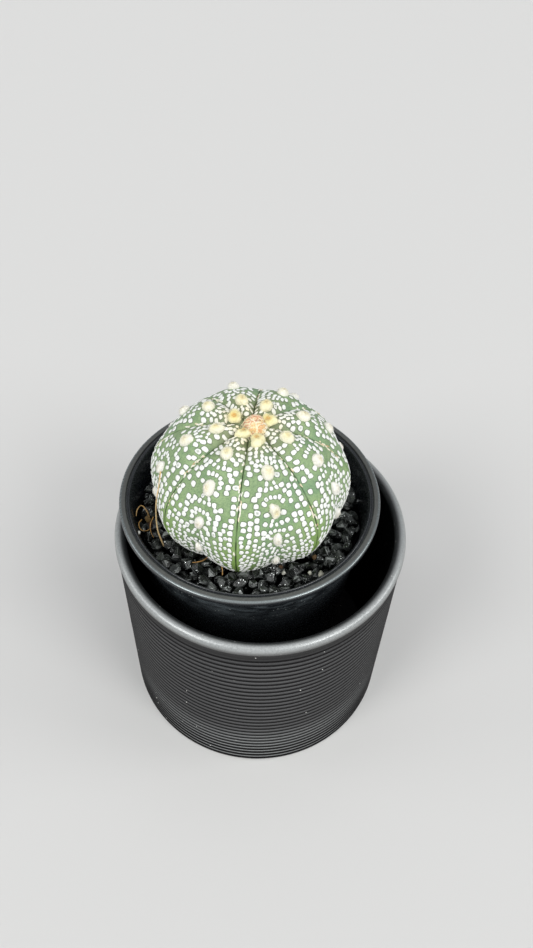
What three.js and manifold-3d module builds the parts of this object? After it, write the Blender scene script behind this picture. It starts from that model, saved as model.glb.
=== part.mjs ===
// Potted star cactus: an eight-ribbed cactus on black lava gravel, in a plastic nursery pot
// that stands a little off centre in a round cover pot with fine rings.
// Millimetres, +Z up, origin at the centre of the cover pot's foot.
import * as THREE from 'three';
import { mergeVertices } from 'three/addons/utils/BufferGeometryUtils.js';
import Module from 'manifold-3d';

const seatGap = 0.3; // clearance between pieces that rest on or in each other
const degree = Math.PI / 180;

const coverPot = {
  height: 99,
  rimRadius: 56.8, // widest place of the rolled rim
  bodyRadius: 56.3, // on the crest of a ring
  rimWidth: 3.4,
  rimHeight: 5.6, // the roll, from its neck to the top
  floor: 6,
  footInset: 1.6, // from the body to the foot
  footWidth: 5.5,
  footRecess: 1.2,
  ringCount: 30,
  ringPitch: 3,
  ringDepth: 0.7,
  firstRing: 1.6, // height of the lowest ring's crest
  segments: 32,
};

const nurseryPot = {
  axis: [-4.5, 5.3], // it stands off the cover pot's axis
  rimTop: 110.3,
  rimRadius: 50,
  lipWidth: 2.4,
  lipThickness: 2.6,
  grooveDepth: 0.9, // round the inside of the lip
  wall: 1.3,
  floor: 1.8,
  shoulderRadius: 45.6, // inside of the wall just under the lip
  waistDepth: 9.5, // below this the wall tapers gently
  waistRadius: 44.2,
  footRadius: 36.2,
  corner: 1.5, // between the floor and the wall
  drainCount: 6,
  drainRadius: 3.4,
  drainCircle: 24,
  drainSides: 10,
  segments: 36,
};

const gravel = {
  level: 100.8, // mean height of the top surface
  depth: 6.5,
  headroom: 3, // no chip stands higher over the level
  bedDrop: 1.2, // from the level to the bed between the chips
  chipRings: [30.8, 36, 41.2], // radius of each ring of chips
  chipSpacing: 6.4,
  chipSize: 4,
  chipSink: 0.9, // from the level to the chips' middles
  room: 0.5, // between the chips and the cactus
  seed: 7,
};

// The body's meridians are given as the reach from its heart at every 18 degrees, from the
// crown down to the part that is bedded in the gravel. Rib crests stand out near the crown
// and sink in on the flank, where the grooves become the corners.
const cactus = {
  axis: [-4.6, 3.3],
  heart: 117.8, // height of the point that the reaches start from
  reachStep: 18,
  crestReach: [30, 33.1, 35.6, 36, 36, 34.3, 31.8, 29.5],
  grooveReach: [30, 30.2, 33, 35.6, 37.6, 36.9, 34.8, 32.6],
  ribAzimuths: [-72, -24.5, 18.5, 60.5, 108, 151, 195, 241.5],
  columnEdges: [-0.95, -0.6, -0.22, 0.22, 0.6, 0.95], // 0 is a rib's crest, 1 its groove
  firstRow: 7, // degrees from the crown
  rowStep: 10.25,
  rowCount: 11,
  buriedAngle: 126,
  underRadius: 14, // ring where the underside flattens
  roundAngle: 36, // the ribs' cross section is round down to here,
  flatAngle: 84, // and flat with a cornered groove from here on
  roundPower: 2,
  flatPower: 0.75,
  creaseDepth: 0.6,
  creaseWidth: 0.05, // share of half a rib
  creaseStart: 4, // the creases deepen from this angle
  creaseFull: 20,
};

const root = { neckRadius: 6, tipRadius: 1.6, length: 44, overlap: 5, sides: 12 };

// Woolly cushions sit on each rib's crest line, two rows apart. The first one's angle from
// the crown differs from rib to rib, and the skin's rows bend to follow it.
const areole = {
  firstAngles: [15, 24, 12, 18, 21, 12, 21, 9],
  lastAngle: 104, // lower ones are lost in the gravel
  length: 5.4,
  width: 4.6,
  height: 2.1,
  shoulderWidth: 0.78, // share of the dome's width and height at its shoulder
  shoulderHeight: 0.66,
  sides: 8,
  rowsApart: 2,
  wholeRibAngle: 30, // nearer the crown than this a cushion fills its rib
  widthShare: 0.86, // of its cell, at most
  lengthShare: 1.3,
};

// White flecks of felt, one to a cell of the skin, point at the nearest cushion.
const fleck = {
  length: 3,
  width: 2.1,
  height: 0.6,
  sides: 4,
  share: 0.74, // of its cell, at most
  smallest: 0.9,
  lastAngle: 110,
};

const crownWool = { shift: [1, 1], radius: 4.5, height: 3.1, sunk: 1.4, sides: 14 };

const wasm = await Module();
wasm.setup();

// Turns a closed geometry into a solid for joining and cutting.
function toSolid(geometry) {
  const bare = geometry.clone();
  bare.deleteAttribute('normal');
  bare.deleteAttribute('uv');
  const merged = mergeVertices(bare, 1e-4);
  const corners = merged.index.array;
  const kept = [];
  for (let i = 0; i < corners.length; i += 3) {
    const [a, b, c] = [corners[i], corners[i + 1], corners[i + 2]];
    if (a !== b && b !== c && c !== a) kept.push(a, b, c);
  }
  const vertProperties = Float32Array.from(merged.attributes.position.array);
  const triVerts = Uint32Array.from(kept);
  return new wasm.Manifold(new wasm.Mesh({ numProp: 3, vertProperties, triVerts }));
}

function toGeometry(solid) {
  const mesh = solid.getMesh();
  const geometry = new THREE.BufferGeometry();
  geometry.setAttribute('position', new THREE.BufferAttribute(mesh.vertProperties, 3));
  geometry.setIndex(new THREE.BufferAttribute(mesh.triVerts, 1));
  geometry.computeVertexNormals();
  return geometry;
}

// A profile of [radius, height] points, turned round +Z.
function turned(profile, segments) {
  const points = profile.map(([radius, height]) => new THREE.Vector2(radius, height));
  return toSolid(new THREE.LatheGeometry(points, segments).rotateX(Math.PI / 2));
}

function moved(geometry, x, y, z) {
  return toSolid(geometry.clone().translate(x, y, z));
}

// Repeatable numbers from 0 to 1, so that every run lays the same gravel.
function seededRandom(seed) {
  let state = seed;
  return () => {
    state = (state * 1664525 + 1013904223) % 4294967296;
    return state / 4294967296;
  };
}

function makeCoverPot() {
  const { height, rimRadius, bodyRadius, rimWidth, rimHeight, floor } = coverPot;
  const { ringCount, ringPitch, ringDepth, firstRing, footWidth, footRecess } = coverPot;
  const bore = rimRadius - rimWidth;
  const neck = height - rimHeight;
  const footOuter = bodyRadius - coverPot.footInset;
  const profile = [
    [0, footRecess],
    [footOuter - footWidth - footRecess, footRecess],
    [footOuter - footWidth, 0],
    [footOuter, 0],
  ];
  for (let ring = 0; ring < ringCount; ring += 1) {
    const crest = firstRing + ring * ringPitch;
    profile.push([bodyRadius, crest], [bodyRadius - ringDepth, crest + ringPitch / 2]);
  }
  profile.push(
    [bodyRadius - 0.5, neck],
    [rimRadius - 0.15, neck + 1.6],
    [rimRadius, height - 1.5],
    [rimRadius - 0.5, height - 0.4],
    [rimRadius - 1.5, height],
    [bore + 0.7, height - 0.5],
    [bore, height - 1.8],
    [bore - 0.2, floor + 2],
    [bore - 2.2, floor],
    [0, floor],
  );
  return turned(profile, coverPot.segments);
}

// Radius of the nursery pot's inner wall at a height.
function nurseryWall(z) {
  const { rimTop, waistDepth, waistRadius, shoulderRadius, footRadius, wall } = nurseryPot;
  const waist = rimTop - waistDepth;
  const foot = coverPot.floor + seatGap;
  if (z > waist) {
    return THREE.MathUtils.lerp(waistRadius, shoulderRadius, (z - waist) / waistDepth);
  }
  return THREE.MathUtils.lerp(footRadius - wall, waistRadius, (z - foot) / (waist - foot));
}

function makeNurseryPot() {
  const { rimTop, rimRadius, lipWidth, lipThickness, wall, floor, corner } = nurseryPot;
  const foot = coverPot.floor + seatGap;
  const waist = rimTop - nurseryPot.waistDepth;
  const lipInner = rimRadius - lipWidth;
  const under = rimTop - lipThickness;
  const ledge = rimTop - nurseryPot.grooveDepth;
  const profile = [
    [0, foot],
    [nurseryPot.footRadius - 1, foot],
    [nurseryWall(foot + 1) + wall, foot + 1],
    [nurseryWall(waist) + wall, waist],
    [nurseryWall(under) + wall + 0.6, under - 0.4],
    [rimRadius - 0.6, under],
    [rimRadius, under + 0.6],
    [rimRadius, rimTop - 0.5],
    [rimRadius - 0.5, rimTop],
    [lipInner, rimTop],
    [lipInner - 0.3, ledge],
    [lipInner - 0.9, ledge],
    [lipInner - 1.1, ledge + 0.5],
    [lipInner - 1.6, ledge + 0.5],
    [nurseryWall(ledge - 0.8), ledge - 0.8],
    [nurseryWall(waist), waist],
    [nurseryWall(foot + floor + corner), foot + floor + corner],
    [nurseryWall(foot + floor) - corner, foot + floor],
    [0, foot + floor],
  ];
  let pot = turned(profile, nurseryPot.segments);
  const { drainCount, drainRadius, drainCircle, drainSides } = nurseryPot;
  const drain = new THREE.CylinderGeometry(drainRadius, drainRadius, floor * 3, drainSides);
  drain.rotateX(Math.PI / 2);
  for (let i = 0; i < drainCount; i += 1) {
    const angle = (i * 2 * Math.PI) / drainCount;
    const x = drainCircle * Math.cos(angle);
    const y = drainCircle * Math.sin(angle);
    pot = pot.subtract(moved(drain, x, y, foot));
  }
  return pot.translate([...nurseryPot.axis, 0]);
}

const soilTop = gravel.level - gravel.depth - seatGap;

function makeSoil() {
  const bottom = coverPot.floor + nurseryPot.floor + 2 * seatGap;
  const shoulder = bottom + nurseryPot.corner;
  const plug = turned(
    [
      [0, bottom],
      [nurseryWall(bottom) - nurseryPot.corner - seatGap, bottom],
      [nurseryWall(shoulder) - seatGap, shoulder],
      [nurseryWall(soilTop) - seatGap, soilTop],
      [0, soilTop],
    ],
    nurseryPot.segments,
  ).translate([...nurseryPot.axis, 0]);
  return plug.subtract(rootShape(seatGap));
}

// The body's shape with some room round it: the seat that it leaves in the gravel.
function bodySeat(room) {
  const seat = new THREE.SphereGeometry(1, 64, 36).rotateX(Math.PI / 2);
  const places = seat.attributes.position;
  for (let i = 0; i < places.count; i += 1) {
    const way = new THREE.Vector3().fromBufferAttribute(places, i);
    const angle = Math.min(Math.acos(way.z) / degree, cactus.buriedAngle);
    const azimuth = Math.atan2(way.y, way.x) / degree;
    way.multiplyScalar(skinReach(angle, azimuth) + room);
    places.setXYZ(i, way.x, way.y, way.z);
  }
  return moved(seat, ...cactus.axis, cactus.heart);
}

function makeGravel() {
  const { level, depth, chipRings, chipSpacing, chipSize, seed } = gravel;
  const bottom = level - depth;
  const wallAt = (z) => nurseryWall(z) - seatGap;
  const filledTo = (top) => turned(
    [[0, bottom], [wallAt(bottom), bottom], [wallAt(top), top], [0, top]],
    nurseryPot.segments,
  ).translate([...nurseryPot.axis, 0]);
  const room = filledTo(level + gravel.headroom);
  const bed = filledTo(level - gravel.bedDrop);

  const random = seededRandom(seed);
  const spread = (amount) => (random() - 0.5) * 2 * amount;
  const chips = [];
  for (const ringRadius of chipRings) {
    const count = Math.floor((2 * Math.PI * ringRadius) / chipSpacing);
    for (let i = 0; i < count; i += 1) {
      const angle = (2 * Math.PI * (i + 0.35 * random())) / count;
      const radius = ringRadius + spread(0.8);
      const chip = new THREE.OctahedronGeometry(chipSize, 0);
      chip.scale(1 + spread(0.18), 0.85 + spread(0.15), 0.75 + spread(0.12));
      chip.rotateX(spread(0.9)).rotateY(spread(0.9)).rotateZ(spread(Math.PI));
      const x = nurseryPot.axis[0] + radius * Math.cos(angle);
      const y = nurseryPot.axis[1] + radius * Math.sin(angle);
      chips.push(moved(chip, x, y, level - gravel.chipSink + spread(0.5)));
    }
  }
  return wasm.Manifold.union(chips).intersect(room).add(bed).subtract(bodySeat(gravel.room));
}

function meridianReach(reaches, angle) {
  const points = reaches.map((reach, i) => new THREE.Vector2(i, reach));
  const share = angle / (cactus.reachStep * (reaches.length - 1));
  return new THREE.SplineCurve(points).getPoint(share).y;
}

// Share of the way from a rib's crest (0) to its groove (1) at an azimuth in degrees.
function acrossShare(azimuth) {
  const { ribAzimuths } = cactus;
  const count = ribAzimuths.length;
  for (let rib = 0; rib < count; rib += 1) {
    const start = ribAzimuths[rib];
    const end = rib + 1 < count ? ribAzimuths[rib + 1] : ribAzimuths[0] + 360;
    const offset = THREE.MathUtils.euclideanModulo(azimuth - start, 360);
    if (offset <= end - start) return 1 - Math.abs(1 - (2 * offset) / (end - start));
  }
  return 1;
}

// Reach from the heart to the ribbed skin. Ribs are round near the crown and flat below.
function skinReach(angle, azimuth) {
  const flank = THREE.MathUtils.smoothstep(angle, cactus.roundAngle, cactus.flatAngle);
  const power = THREE.MathUtils.lerp(cactus.roundPower, cactus.flatPower, flank);
  const blend = acrossShare(azimuth) ** power;
  const crest = meridianReach(cactus.crestReach, angle);
  return THREE.MathUtils.lerp(crest, meridianReach(cactus.grooveReach, angle), blend);
}

// The skin with its creases, at an angle from the crown and an azimuth, both in degrees.
function skinPoint(angle, azimuth) {
  const fromGroove = (1 - acrossShare(azimuth)) / cactus.creaseWidth;
  const fade = THREE.MathUtils.smoothstep(angle, cactus.creaseStart, cactus.creaseFull);
  const crease = Math.max(0, 1 - fromGroove) * cactus.creaseDepth * fade;
  const reach = skinReach(angle, azimuth) - crease;
  const outward = reach * Math.sin(angle * degree);
  return new THREE.Vector3(
    cactus.axis[0] + outward * Math.cos(azimuth * degree),
    cactus.axis[1] + outward * Math.sin(azimuth * degree),
    cactus.heart + reach * Math.cos(angle * degree),
  );
}

function skinNormal(angle, azimuth) {
  const down = skinPoint(angle + 3, azimuth).sub(skinPoint(angle - 3, azimuth));
  const round = skinPoint(angle, azimuth + 3).sub(skinPoint(angle, azimuth - 3));
  return down.cross(round).normalize();
}

// Azimuth of a column edge, from -1 at the groove before a rib to 1 at the one after it.
function edgeAzimuth(rib, edge) {
  const { ribAzimuths } = cactus;
  const count = ribAzimuths.length;
  const step = edge < 0 ? -1 : 1;
  const turns = rib + step < 0 ? -360 : rib + step >= count ? 360 : 0;
  const neighbour = ribAzimuths[(rib + step + count) % count] + turns;
  return ribAzimuths[rib] + (Math.abs(edge) * (neighbour - ribAzimuths[rib])) / 2;
}

function rowMiddle(row) {
  return cactus.firstRow + cactus.rowStep * (row + 0.5);
}

function firstAreoleRow(rib) {
  return Math.max(0, Math.round((areole.firstAngles[rib] - rowMiddle(0)) / cactus.rowStep));
}

// A corner of the skin's net, as angle and azimuth. Rows bend by up to half a row, so that
// cushions lie in the middle of their cells.
function netPoint(rib, edge, row) {
  const bend = areole.firstAngles[rib] - rowMiddle(firstAreoleRow(rib));
  const angle = cactus.firstRow + cactus.rowStep * row + bend * (1 - edge * edge);
  return new THREE.Vector2(angle, edgeAzimuth(rib, edge));
}

// A bump's outline on the skin, as angles and azimuths round its middle.
function bumpOutline(middle, heading, length, width, sides) {
  const reach = meridianReach(cactus.crestReach, middle.x);
  const parallel = reach * Math.sin(middle.x * degree);
  const outline = [];
  for (let i = 0; i < sides; i += 1) {
    const turn = (2 * Math.PI * i) / sides;
    const along = (length / 2) * Math.cos(turn);
    const aside = (width / 2) * Math.sin(turn);
    const down = along * Math.cos(heading) - aside * Math.sin(heading);
    const round = along * Math.sin(heading) + aside * Math.cos(heading);
    outline.push(
      new THREE.Vector2(middle.x + down / reach / degree, middle.y + round / parallel / degree),
    );
  }
  return outline;
}

// Adds one cell of the skin, with its bump if it has one, to a list of corners in threes.
// A bump's tiers are its width and height at each step up, and its top is a point.
function addCell(corners, contour, bump) {
  const holes = bump ? [bump.outline] : [];
  const flat = [contour, ...holes].flat();
  const faces = THREE.ShapeUtils.triangulateShape(contour.slice(), holes.map((h) => h.slice()));
  for (const [a, b, c] of faces) {
    const ab = flat[b].clone().sub(flat[a]);
    const ac = flat[c].clone().sub(flat[a]);
    const order = ab.cross(ac) > 0 ? [a, b, c] : [a, c, b];
    corners.push(...order.map((i) => skinPoint(flat[i].x, flat[i].y)));
  }
  if (!bump) return;
  const { middle, outline, tiers, height } = bump;
  const out = skinNormal(middle.x, middle.y);
  const foot = skinPoint(middle.x, middle.y);
  const top = foot.clone().addScaledVector(out, height);
  const rings = [outline.map((p) => skinPoint(p.x, p.y))];
  for (const [width, share] of tiers) {
    const lift = out.clone().multiplyScalar(share * height);
    rings.push(rings[0].map((p) => p.clone().lerp(foot, 1 - width).add(lift)));
  }
  const sides = outline.length;
  for (let i = 0; i < sides; i += 1) {
    const next = (i + 1) % sides;
    for (let tier = 0; tier + 1 < rings.length; tier += 1) {
      const [low, high] = [rings[tier], rings[tier + 1]];
      corners.push(low[i], low[next], high[next], low[i], high[next], high[i]);
    }
    corners.push(rings.at(-1)[i], rings.at(-1)[next], top);
  }
}

function makeAreole(angle, azimuth, cellWidth) {
  const width = Math.min(areole.width, areole.widthShare * cellWidth);
  const length = Math.min(areole.length, areole.lengthShare * cellWidth);
  const middle = new THREE.Vector2(angle, azimuth);
  return {
    middle,
    outline: bumpOutline(middle, 0, length, width, areole.sides),
    tiers: [[areole.shoulderWidth, areole.shoulderHeight]],
    height: areole.height,
  };
}

function makeFleck(rib, row, from, to) {
  const corner = netPoint(rib, from, row);
  const far = netPoint(rib, to, row + 1);
  const middle = corner.clone().add(far).multiplyScalar(0.5);
  const reach = meridianReach(cactus.crestReach, middle.x);
  const cellWidth = (far.y - corner.y) * degree * reach * Math.sin(middle.x * degree);
  const cellHeight = cactus.rowStep * degree * reach;
  const first = areole.firstAngles[rib];
  const areoleStep = areole.rowsApart * cactus.rowStep;
  const nearest = first + areoleStep * Math.round((middle.x - first) / areoleStep);
  const aside = (middle.y - cactus.ribAzimuths[rib]) * Math.sin(middle.x * degree);
  const heading = Math.atan2(aside, middle.x - nearest);
  const { length, width, share, smallest, height, sides, lastAngle } = fleck;
  const down = Math.max(length * Math.abs(Math.cos(heading)), width * Math.abs(Math.sin(heading)));
  const round = Math.max(length * Math.abs(Math.sin(heading)), width * Math.abs(Math.cos(heading)));
  const scale = Math.min(1, (share * cellHeight) / down, (share * cellWidth) / round);
  if (width * scale < smallest || middle.x > lastAngle) return null;
  return {
    middle,
    outline: bumpOutline(middle, heading, length * scale, width * scale, sides),
    tiers: [],
    height: height * scale,
  };
}

// The cell between two column edges of a rib, whose contour passes the crest if it spans it.
function addRibCell(corners, rib, row, from, to, bump) {
  const edges = cactus.columnEdges.filter((edge) => edge >= from && edge <= to);
  if (from < 0 && to > 0) edges.splice(edges.length / 2, 0, 0);
  const upper = edges.map((edge) => netPoint(rib, edge, row));
  const lower = edges.map((edge) => netPoint(rib, edge, row + 1)).reverse();
  addCell(corners, [...upper, ...lower], bump);
}

function addRib(corners, rib) {
  const { columnEdges, rowCount } = cactus;
  const [start, end] = [columnEdges[0], columnEdges.at(-1)];
  for (let row = 0; row < rowCount; row += 1) {
    const rowsOn = row - firstAreoleRow(rib);
    const angle = areole.firstAngles[rib] + rowsOn * cactus.rowStep;
    const isAreoleRow = rowsOn >= 0 && rowsOn % areole.rowsApart === 0;
    const hasAreole = isAreoleRow && angle < areole.lastAngle;
    const parallel = meridianReach(cactus.crestReach, angle) * Math.sin(angle * degree);
    const wholeRib = hasAreole && angle < areole.wholeRibAngle;
    const columns = wholeRib ? [start, end] : columnEdges;
    for (let i = 0; i + 1 < columns.length; i += 1) {
      const [from, to] = [columns[i], columns[i + 1]];
      const middle = from < 0 && to > 0;
      const width = (edgeAzimuth(rib, to) - edgeAzimuth(rib, from)) * degree * parallel;
      const bump = hasAreole && middle
        ? makeAreole(angle, cactus.ribAzimuths[rib], width)
        : makeFleck(rib, row, from, to);
      addRibCell(corners, rib, row, from, to, bump);
    }
    for (const [from, to] of [[-1, start], [end, 1]]) {
      const upper = [netPoint(rib, from, row), netPoint(rib, to, row)];
      const lower = [netPoint(rib, to, row + 1), netPoint(rib, from, row + 1)];
      addCell(corners, [...upper, ...lower], null);
    }
  }
}

// Closes the skin at the crown, and under the ribs as far as the root's neck.
function addCaps(corners) {
  const { ribAzimuths, columnEdges, rowCount, buriedAngle, underRadius, axis } = cactus;
  const edges = [-1, ...columnEdges.slice(0, 3), 0, ...columnEdges.slice(3)];
  const rims = ribAzimuths.flatMap((_, rib) => edges.map((edge) => [rib, edge]));
  const underside = gravel.level - gravel.depth;
  const crown = skinPoint(0, 0);
  const bottom = new THREE.Vector3(axis[0], axis[1], underside);
  const under = (azimuth) => new THREE.Vector3(
    axis[0] + underRadius * Math.cos(azimuth * degree),
    axis[1] + underRadius * Math.sin(azimuth * degree),
    underside + 0.5,
  );
  rims.forEach(([rib, edge], i) => {
    const [nextRib, nextEdge] = rims[(i + 1) % rims.length];
    const columns = [netPoint(rib, edge, 0), netPoint(nextRib, nextEdge, 0)];
    const lows = [netPoint(rib, edge, rowCount), netPoint(nextRib, nextEdge, rowCount)];
    const rings = [
      lows.map((p) => skinPoint(p.x, p.y)),
      lows.map((p) => skinPoint(buriedAngle, p.y)),
      lows.map((p) => under(p.y)),
    ];
    corners.push(crown, ...columns.map((p) => skinPoint(p.x, p.y)));
    for (let ring = 0; ring + 1 < rings.length; ring += 1) {
      const [[a, b], [c, d]] = [rings[ring], rings[ring + 1]];
      corners.push(a, c, d, a, d, b);
    }
    corners.push(rings[2][0], bottom, rings[2][1]);
  });
}

function makeBody() {
  const corners = [];
  cactus.ribAzimuths.forEach((_, rib) => addRib(corners, rib));
  addCaps(corners);
  return toSolid(new THREE.BufferGeometry().setFromPoints(corners));
}

// The taproot, or with some room round it the hole that it stands in.
function rootShape(room) {
  const { neckRadius, tipRadius, length, overlap, sides } = root;
  const underside = gravel.level - gravel.depth;
  const tip = underside - length - 3 * room; // the hole goes on a little past the tip
  return turned(
    [
      [0, tip],
      [tipRadius + room, tip],
      [neckRadius * 0.7 + room, underside - length * 0.45],
      [neckRadius + room, underside],
      [neckRadius * 0.9 + room, underside + overlap],
      [0, underside + overlap],
    ],
    sides,
  ).translate([...cactus.axis, 0]);
}

// The tuft of salmon wool that fills the crown, or with some room its seat in the body.
function woolShape(room) {
  const { shift, radius, height, sunk, sides } = crownWool;
  const tuft = new THREE.SphereGeometry(1, sides, 7).rotateX(Math.PI / 2);
  tuft.scale(radius + room, radius + room, (height + sunk) / 2 + room);
  const crown = cactus.heart + cactus.crestReach[0];
  const middle = crown + (height - sunk) / 2;
  return moved(tuft, cactus.axis[0] + shift[0], cactus.axis[1] + shift[1], middle);
}

function makeCactus() {
  return makeBody().add(rootShape(0)).subtract(woolShape(seatGap));
}

function piece(name, solid, colour, roughness) {
  const material = new THREE.MeshStandardMaterial({ color: colour, roughness, metalness: 0 });
  const mesh = new THREE.Mesh(toGeometry(solid), material);
  mesh.name = name;
  return mesh;
}

const plant = new THREE.Group();
plant.add(
  piece('cover_pot', makeCoverPot(), 0x34353a, 0.35),
  piece('nursery_pot', makeNurseryPot(), 0x1a1c20, 0.45),
  piece('soil', makeSoil(), 0x3b3027, 1),
  piece('gravel', makeGravel(), 0x1c1d1f, 0.4),
  piece('cactus_body', makeCactus(), 0x6c8d62, 0.6),
  piece('crown_wool', woolShape(0), 0xdba283, 0.95),
);

export default plant;
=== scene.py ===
# Potted star cactus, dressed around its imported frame. Metres, +Z up.
import math
import random
import bpy
import numpy as np
from mathutils import Matrix, Vector


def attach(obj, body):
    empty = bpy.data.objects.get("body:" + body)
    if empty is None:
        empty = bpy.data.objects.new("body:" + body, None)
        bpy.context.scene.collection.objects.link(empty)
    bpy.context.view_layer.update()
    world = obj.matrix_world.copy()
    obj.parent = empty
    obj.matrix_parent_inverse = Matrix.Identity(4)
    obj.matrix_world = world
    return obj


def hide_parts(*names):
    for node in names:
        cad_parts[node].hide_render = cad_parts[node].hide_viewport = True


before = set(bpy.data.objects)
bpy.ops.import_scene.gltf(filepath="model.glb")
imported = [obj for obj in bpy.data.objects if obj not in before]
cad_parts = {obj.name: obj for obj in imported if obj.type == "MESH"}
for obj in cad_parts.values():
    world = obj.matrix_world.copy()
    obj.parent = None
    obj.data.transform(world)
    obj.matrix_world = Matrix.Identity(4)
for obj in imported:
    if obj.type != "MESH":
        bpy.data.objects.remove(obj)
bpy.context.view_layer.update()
mm = 0.001
print("frame loaded:", ", ".join(sorted(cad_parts)))


# The view, the floor and the light

viewPoint = {
    "place": (1.465, -189.0, 343.4),  # millimetres
    "pitch": 48.886,  # degrees below the horizon
    "roll": 2.171,
    "lens": 30.0,
    "sensor": 36.0,
    "nearest": 0.01,
}

studio = {
    "floorSize": 6.0,
    "floorColour": (0.6, 0.595, 0.58, 1),
    "floorRoughness": 0.75,
    "worldColour": (0.92, 0.95, 1.0, 1),
    "worldStrength": 0.4,
    # name, side that it comes from, strength and apparent width in degrees of each soft light
    "lights": [
        ("frontLeft", (-0.8, -0.7, 0.9), 1.1, 24),
        ("frontRight", (0.78, -0.7, 0.9), 1.0, 24),
        ("sideLeft", (-1.0, 0.0, 0.5), 0.4, 26),
        ("sideRight", (1.0, 0.0, 0.5), 0.65, 26),
        ("frontLow", (0.1, -1.0, 0.36), 0.52, 60),
        ("overhead", (0.1, -0.12, 1.0), 0.68, 60),
    ],
}


def makeCamera(s):
    bpy.ops.object.camera_add()
    camera = bpy.context.object
    camera.name = "viewCamera"
    camera.data.lens = s["lens"]
    camera.data.sensor_width = s["sensor"]
    camera.data.clip_start = s["nearest"]
    place = Matrix.Translation(Vector(s["place"]) * mm)
    tilt = Matrix.Rotation(math.radians(90 - s["pitch"]), 4, "X")
    roll = Matrix.Rotation(math.radians(s["roll"]), 4, "Z")
    camera.matrix_world = place @ tilt @ roll
    bpy.context.scene.camera = camera


def makeStage(s):
    bpy.ops.mesh.primitive_plane_add(size=s["floorSize"])
    floor = bpy.context.object
    floor.name = "floor"
    paint = bpy.data.materials.new("floorPaint")
    paint.use_nodes = True
    shader = paint.node_tree.nodes["Principled BSDF"]
    shader.inputs["Base Color"].default_value = s["floorColour"]
    shader.inputs["Roughness"].default_value = s["floorRoughness"]
    floor.data.materials.append(paint)
    world = bpy.data.worlds.new("studioWorld")
    world.use_nodes = True
    sky = world.node_tree.nodes["Background"]
    sky.inputs["Color"].default_value = s["worldColour"]
    sky.inputs["Strength"].default_value = s["worldStrength"]
    bpy.context.scene.world = world
    for name, side, strength, width in s["lights"]:
        bpy.ops.object.light_add(type="SUN", location=side)
        light = bpy.context.object
        light.name = name
        light.data.energy = strength
        light.data.angle = math.radians(width)
        light.rotation_euler = Vector(side).to_track_quat("Z", "Y").to_euler()
    bpy.context.scene.view_settings.view_transform = "Standard"


makeCamera(viewPoint)
makeStage(studio)
print("camera, floor and lights placed")


# Shader nodes

# What another node puts out is linked, and any other value is set
def feed(tree, socket, value):
    if isinstance(value, bpy.types.NodeSocket):
        tree.links.new(value, socket)
    else:
        socket.default_value = value


def addNode(tree, kind, inputs=None, **settings):
    made = tree.nodes.new(kind)
    for key, value in settings.items():
        setattr(made, key, value)
    for key, value in (inputs or {}).items():
        feed(tree, made.inputs[key], value)
    return made


def mixColour(tree, factor, first, second, blend="MIX"):
    inputs = {0: factor, 6: first, 7: second}
    return addNode(tree, "ShaderNodeMix", inputs, data_type="RGBA", blend_type=blend).outputs[2]


def calculate(tree, operation, first, second):
    return addNode(tree, "ShaderNodeMath", {0: first, 1: second}, operation=operation).outputs[0]


def spread(tree, value, low, high, newLow=0.0, newHigh=1.0):
    inputs = {"Value": value, "From Min": low, "From Max": high, "To Min": newLow, "To Max": newHigh}
    return addNode(tree, "ShaderNodeMapRange", inputs).outputs["Result"]


def objectCoordinates(tree):
    return addNode(tree, "ShaderNodeTexCoord").outputs["Object"]


def noise(tree, size, detail=3.0, stretch=(1, 1, 1)):
    mapped = addNode(tree, "ShaderNodeMapping", {"Vector": objectCoordinates(tree), "Scale": stretch})
    inputs = {"Vector": mapped.outputs["Vector"], "Scale": 1 / (size * mm), "Detail": detail}
    return addNode(tree, "ShaderNodeTexNoise", inputs).outputs["Fac"]


def attribute(tree, name):
    return addNode(tree, "ShaderNodeAttribute", attribute_name=name).outputs["Fac"]


def ramp(tree, value, stops):
    made = addNode(tree, "ShaderNodeValToRGB", {"Fac": value})
    elements = made.color_ramp.elements
    while len(elements) < len(stops):
        elements.new(1.0)
    for element, (place, colour) in zip(elements, stops):
        element.position = place
        element.color = (*colour, 1)
    return made.outputs["Color"]


def newGroup(name, inputs, outputs):
    group = bpy.data.node_groups.new(name, "ShaderNodeTree")
    for label, value in inputs.items():
        kind = "NodeSocketFloat" if isinstance(value, float) else "NodeSocketColor"
        socket = group.interface.new_socket(name=label, in_out="INPUT", socket_type=kind)
        socket.default_value = value
    for label, kind in outputs.items():
        group.interface.new_socket(name=label, in_out="OUTPUT", socket_type=kind)
    return group, group.nodes.new("NodeGroupInput"), group.nodes.new("NodeGroupOutput")


# Two scales of grain that drift between a dark and a light colour
def makeGrainGroup():
    inputs = {"Size": 1.0, "Fineness": 6.0, "Dark": (0, 0, 0, 1), "Light": (1, 1, 1, 1)}
    outputs = {"Color": "NodeSocketColor", "Height": "NodeSocketFloat"}
    group, start, end = newGroup("grain", inputs, outputs)
    coordinates = objectCoordinates(group)
    broadScale = calculate(group, "DIVIDE", 1 / mm, start.outputs["Size"])
    fineScale = calculate(group, "MULTIPLY", broadScale, start.outputs["Fineness"])
    broad = addNode(group, "ShaderNodeTexNoise", {"Vector": coordinates, "Scale": broadScale, "Detail": 3.0})
    fine = addNode(group, "ShaderNodeTexNoise", {"Vector": coordinates, "Scale": fineScale, "Detail": 2.0})
    total = calculate(group, "ADD", broad.outputs["Fac"], fine.outputs["Fac"])
    height = calculate(group, "MULTIPLY", total, 0.5)
    share = spread(group, height, 0.38, 0.62)
    colour = mixColour(group, share, start.outputs["Dark"], start.outputs["Light"])
    group.links.new(colour, end.inputs["Color"])
    group.links.new(height, end.inputs["Height"])
    return group


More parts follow.
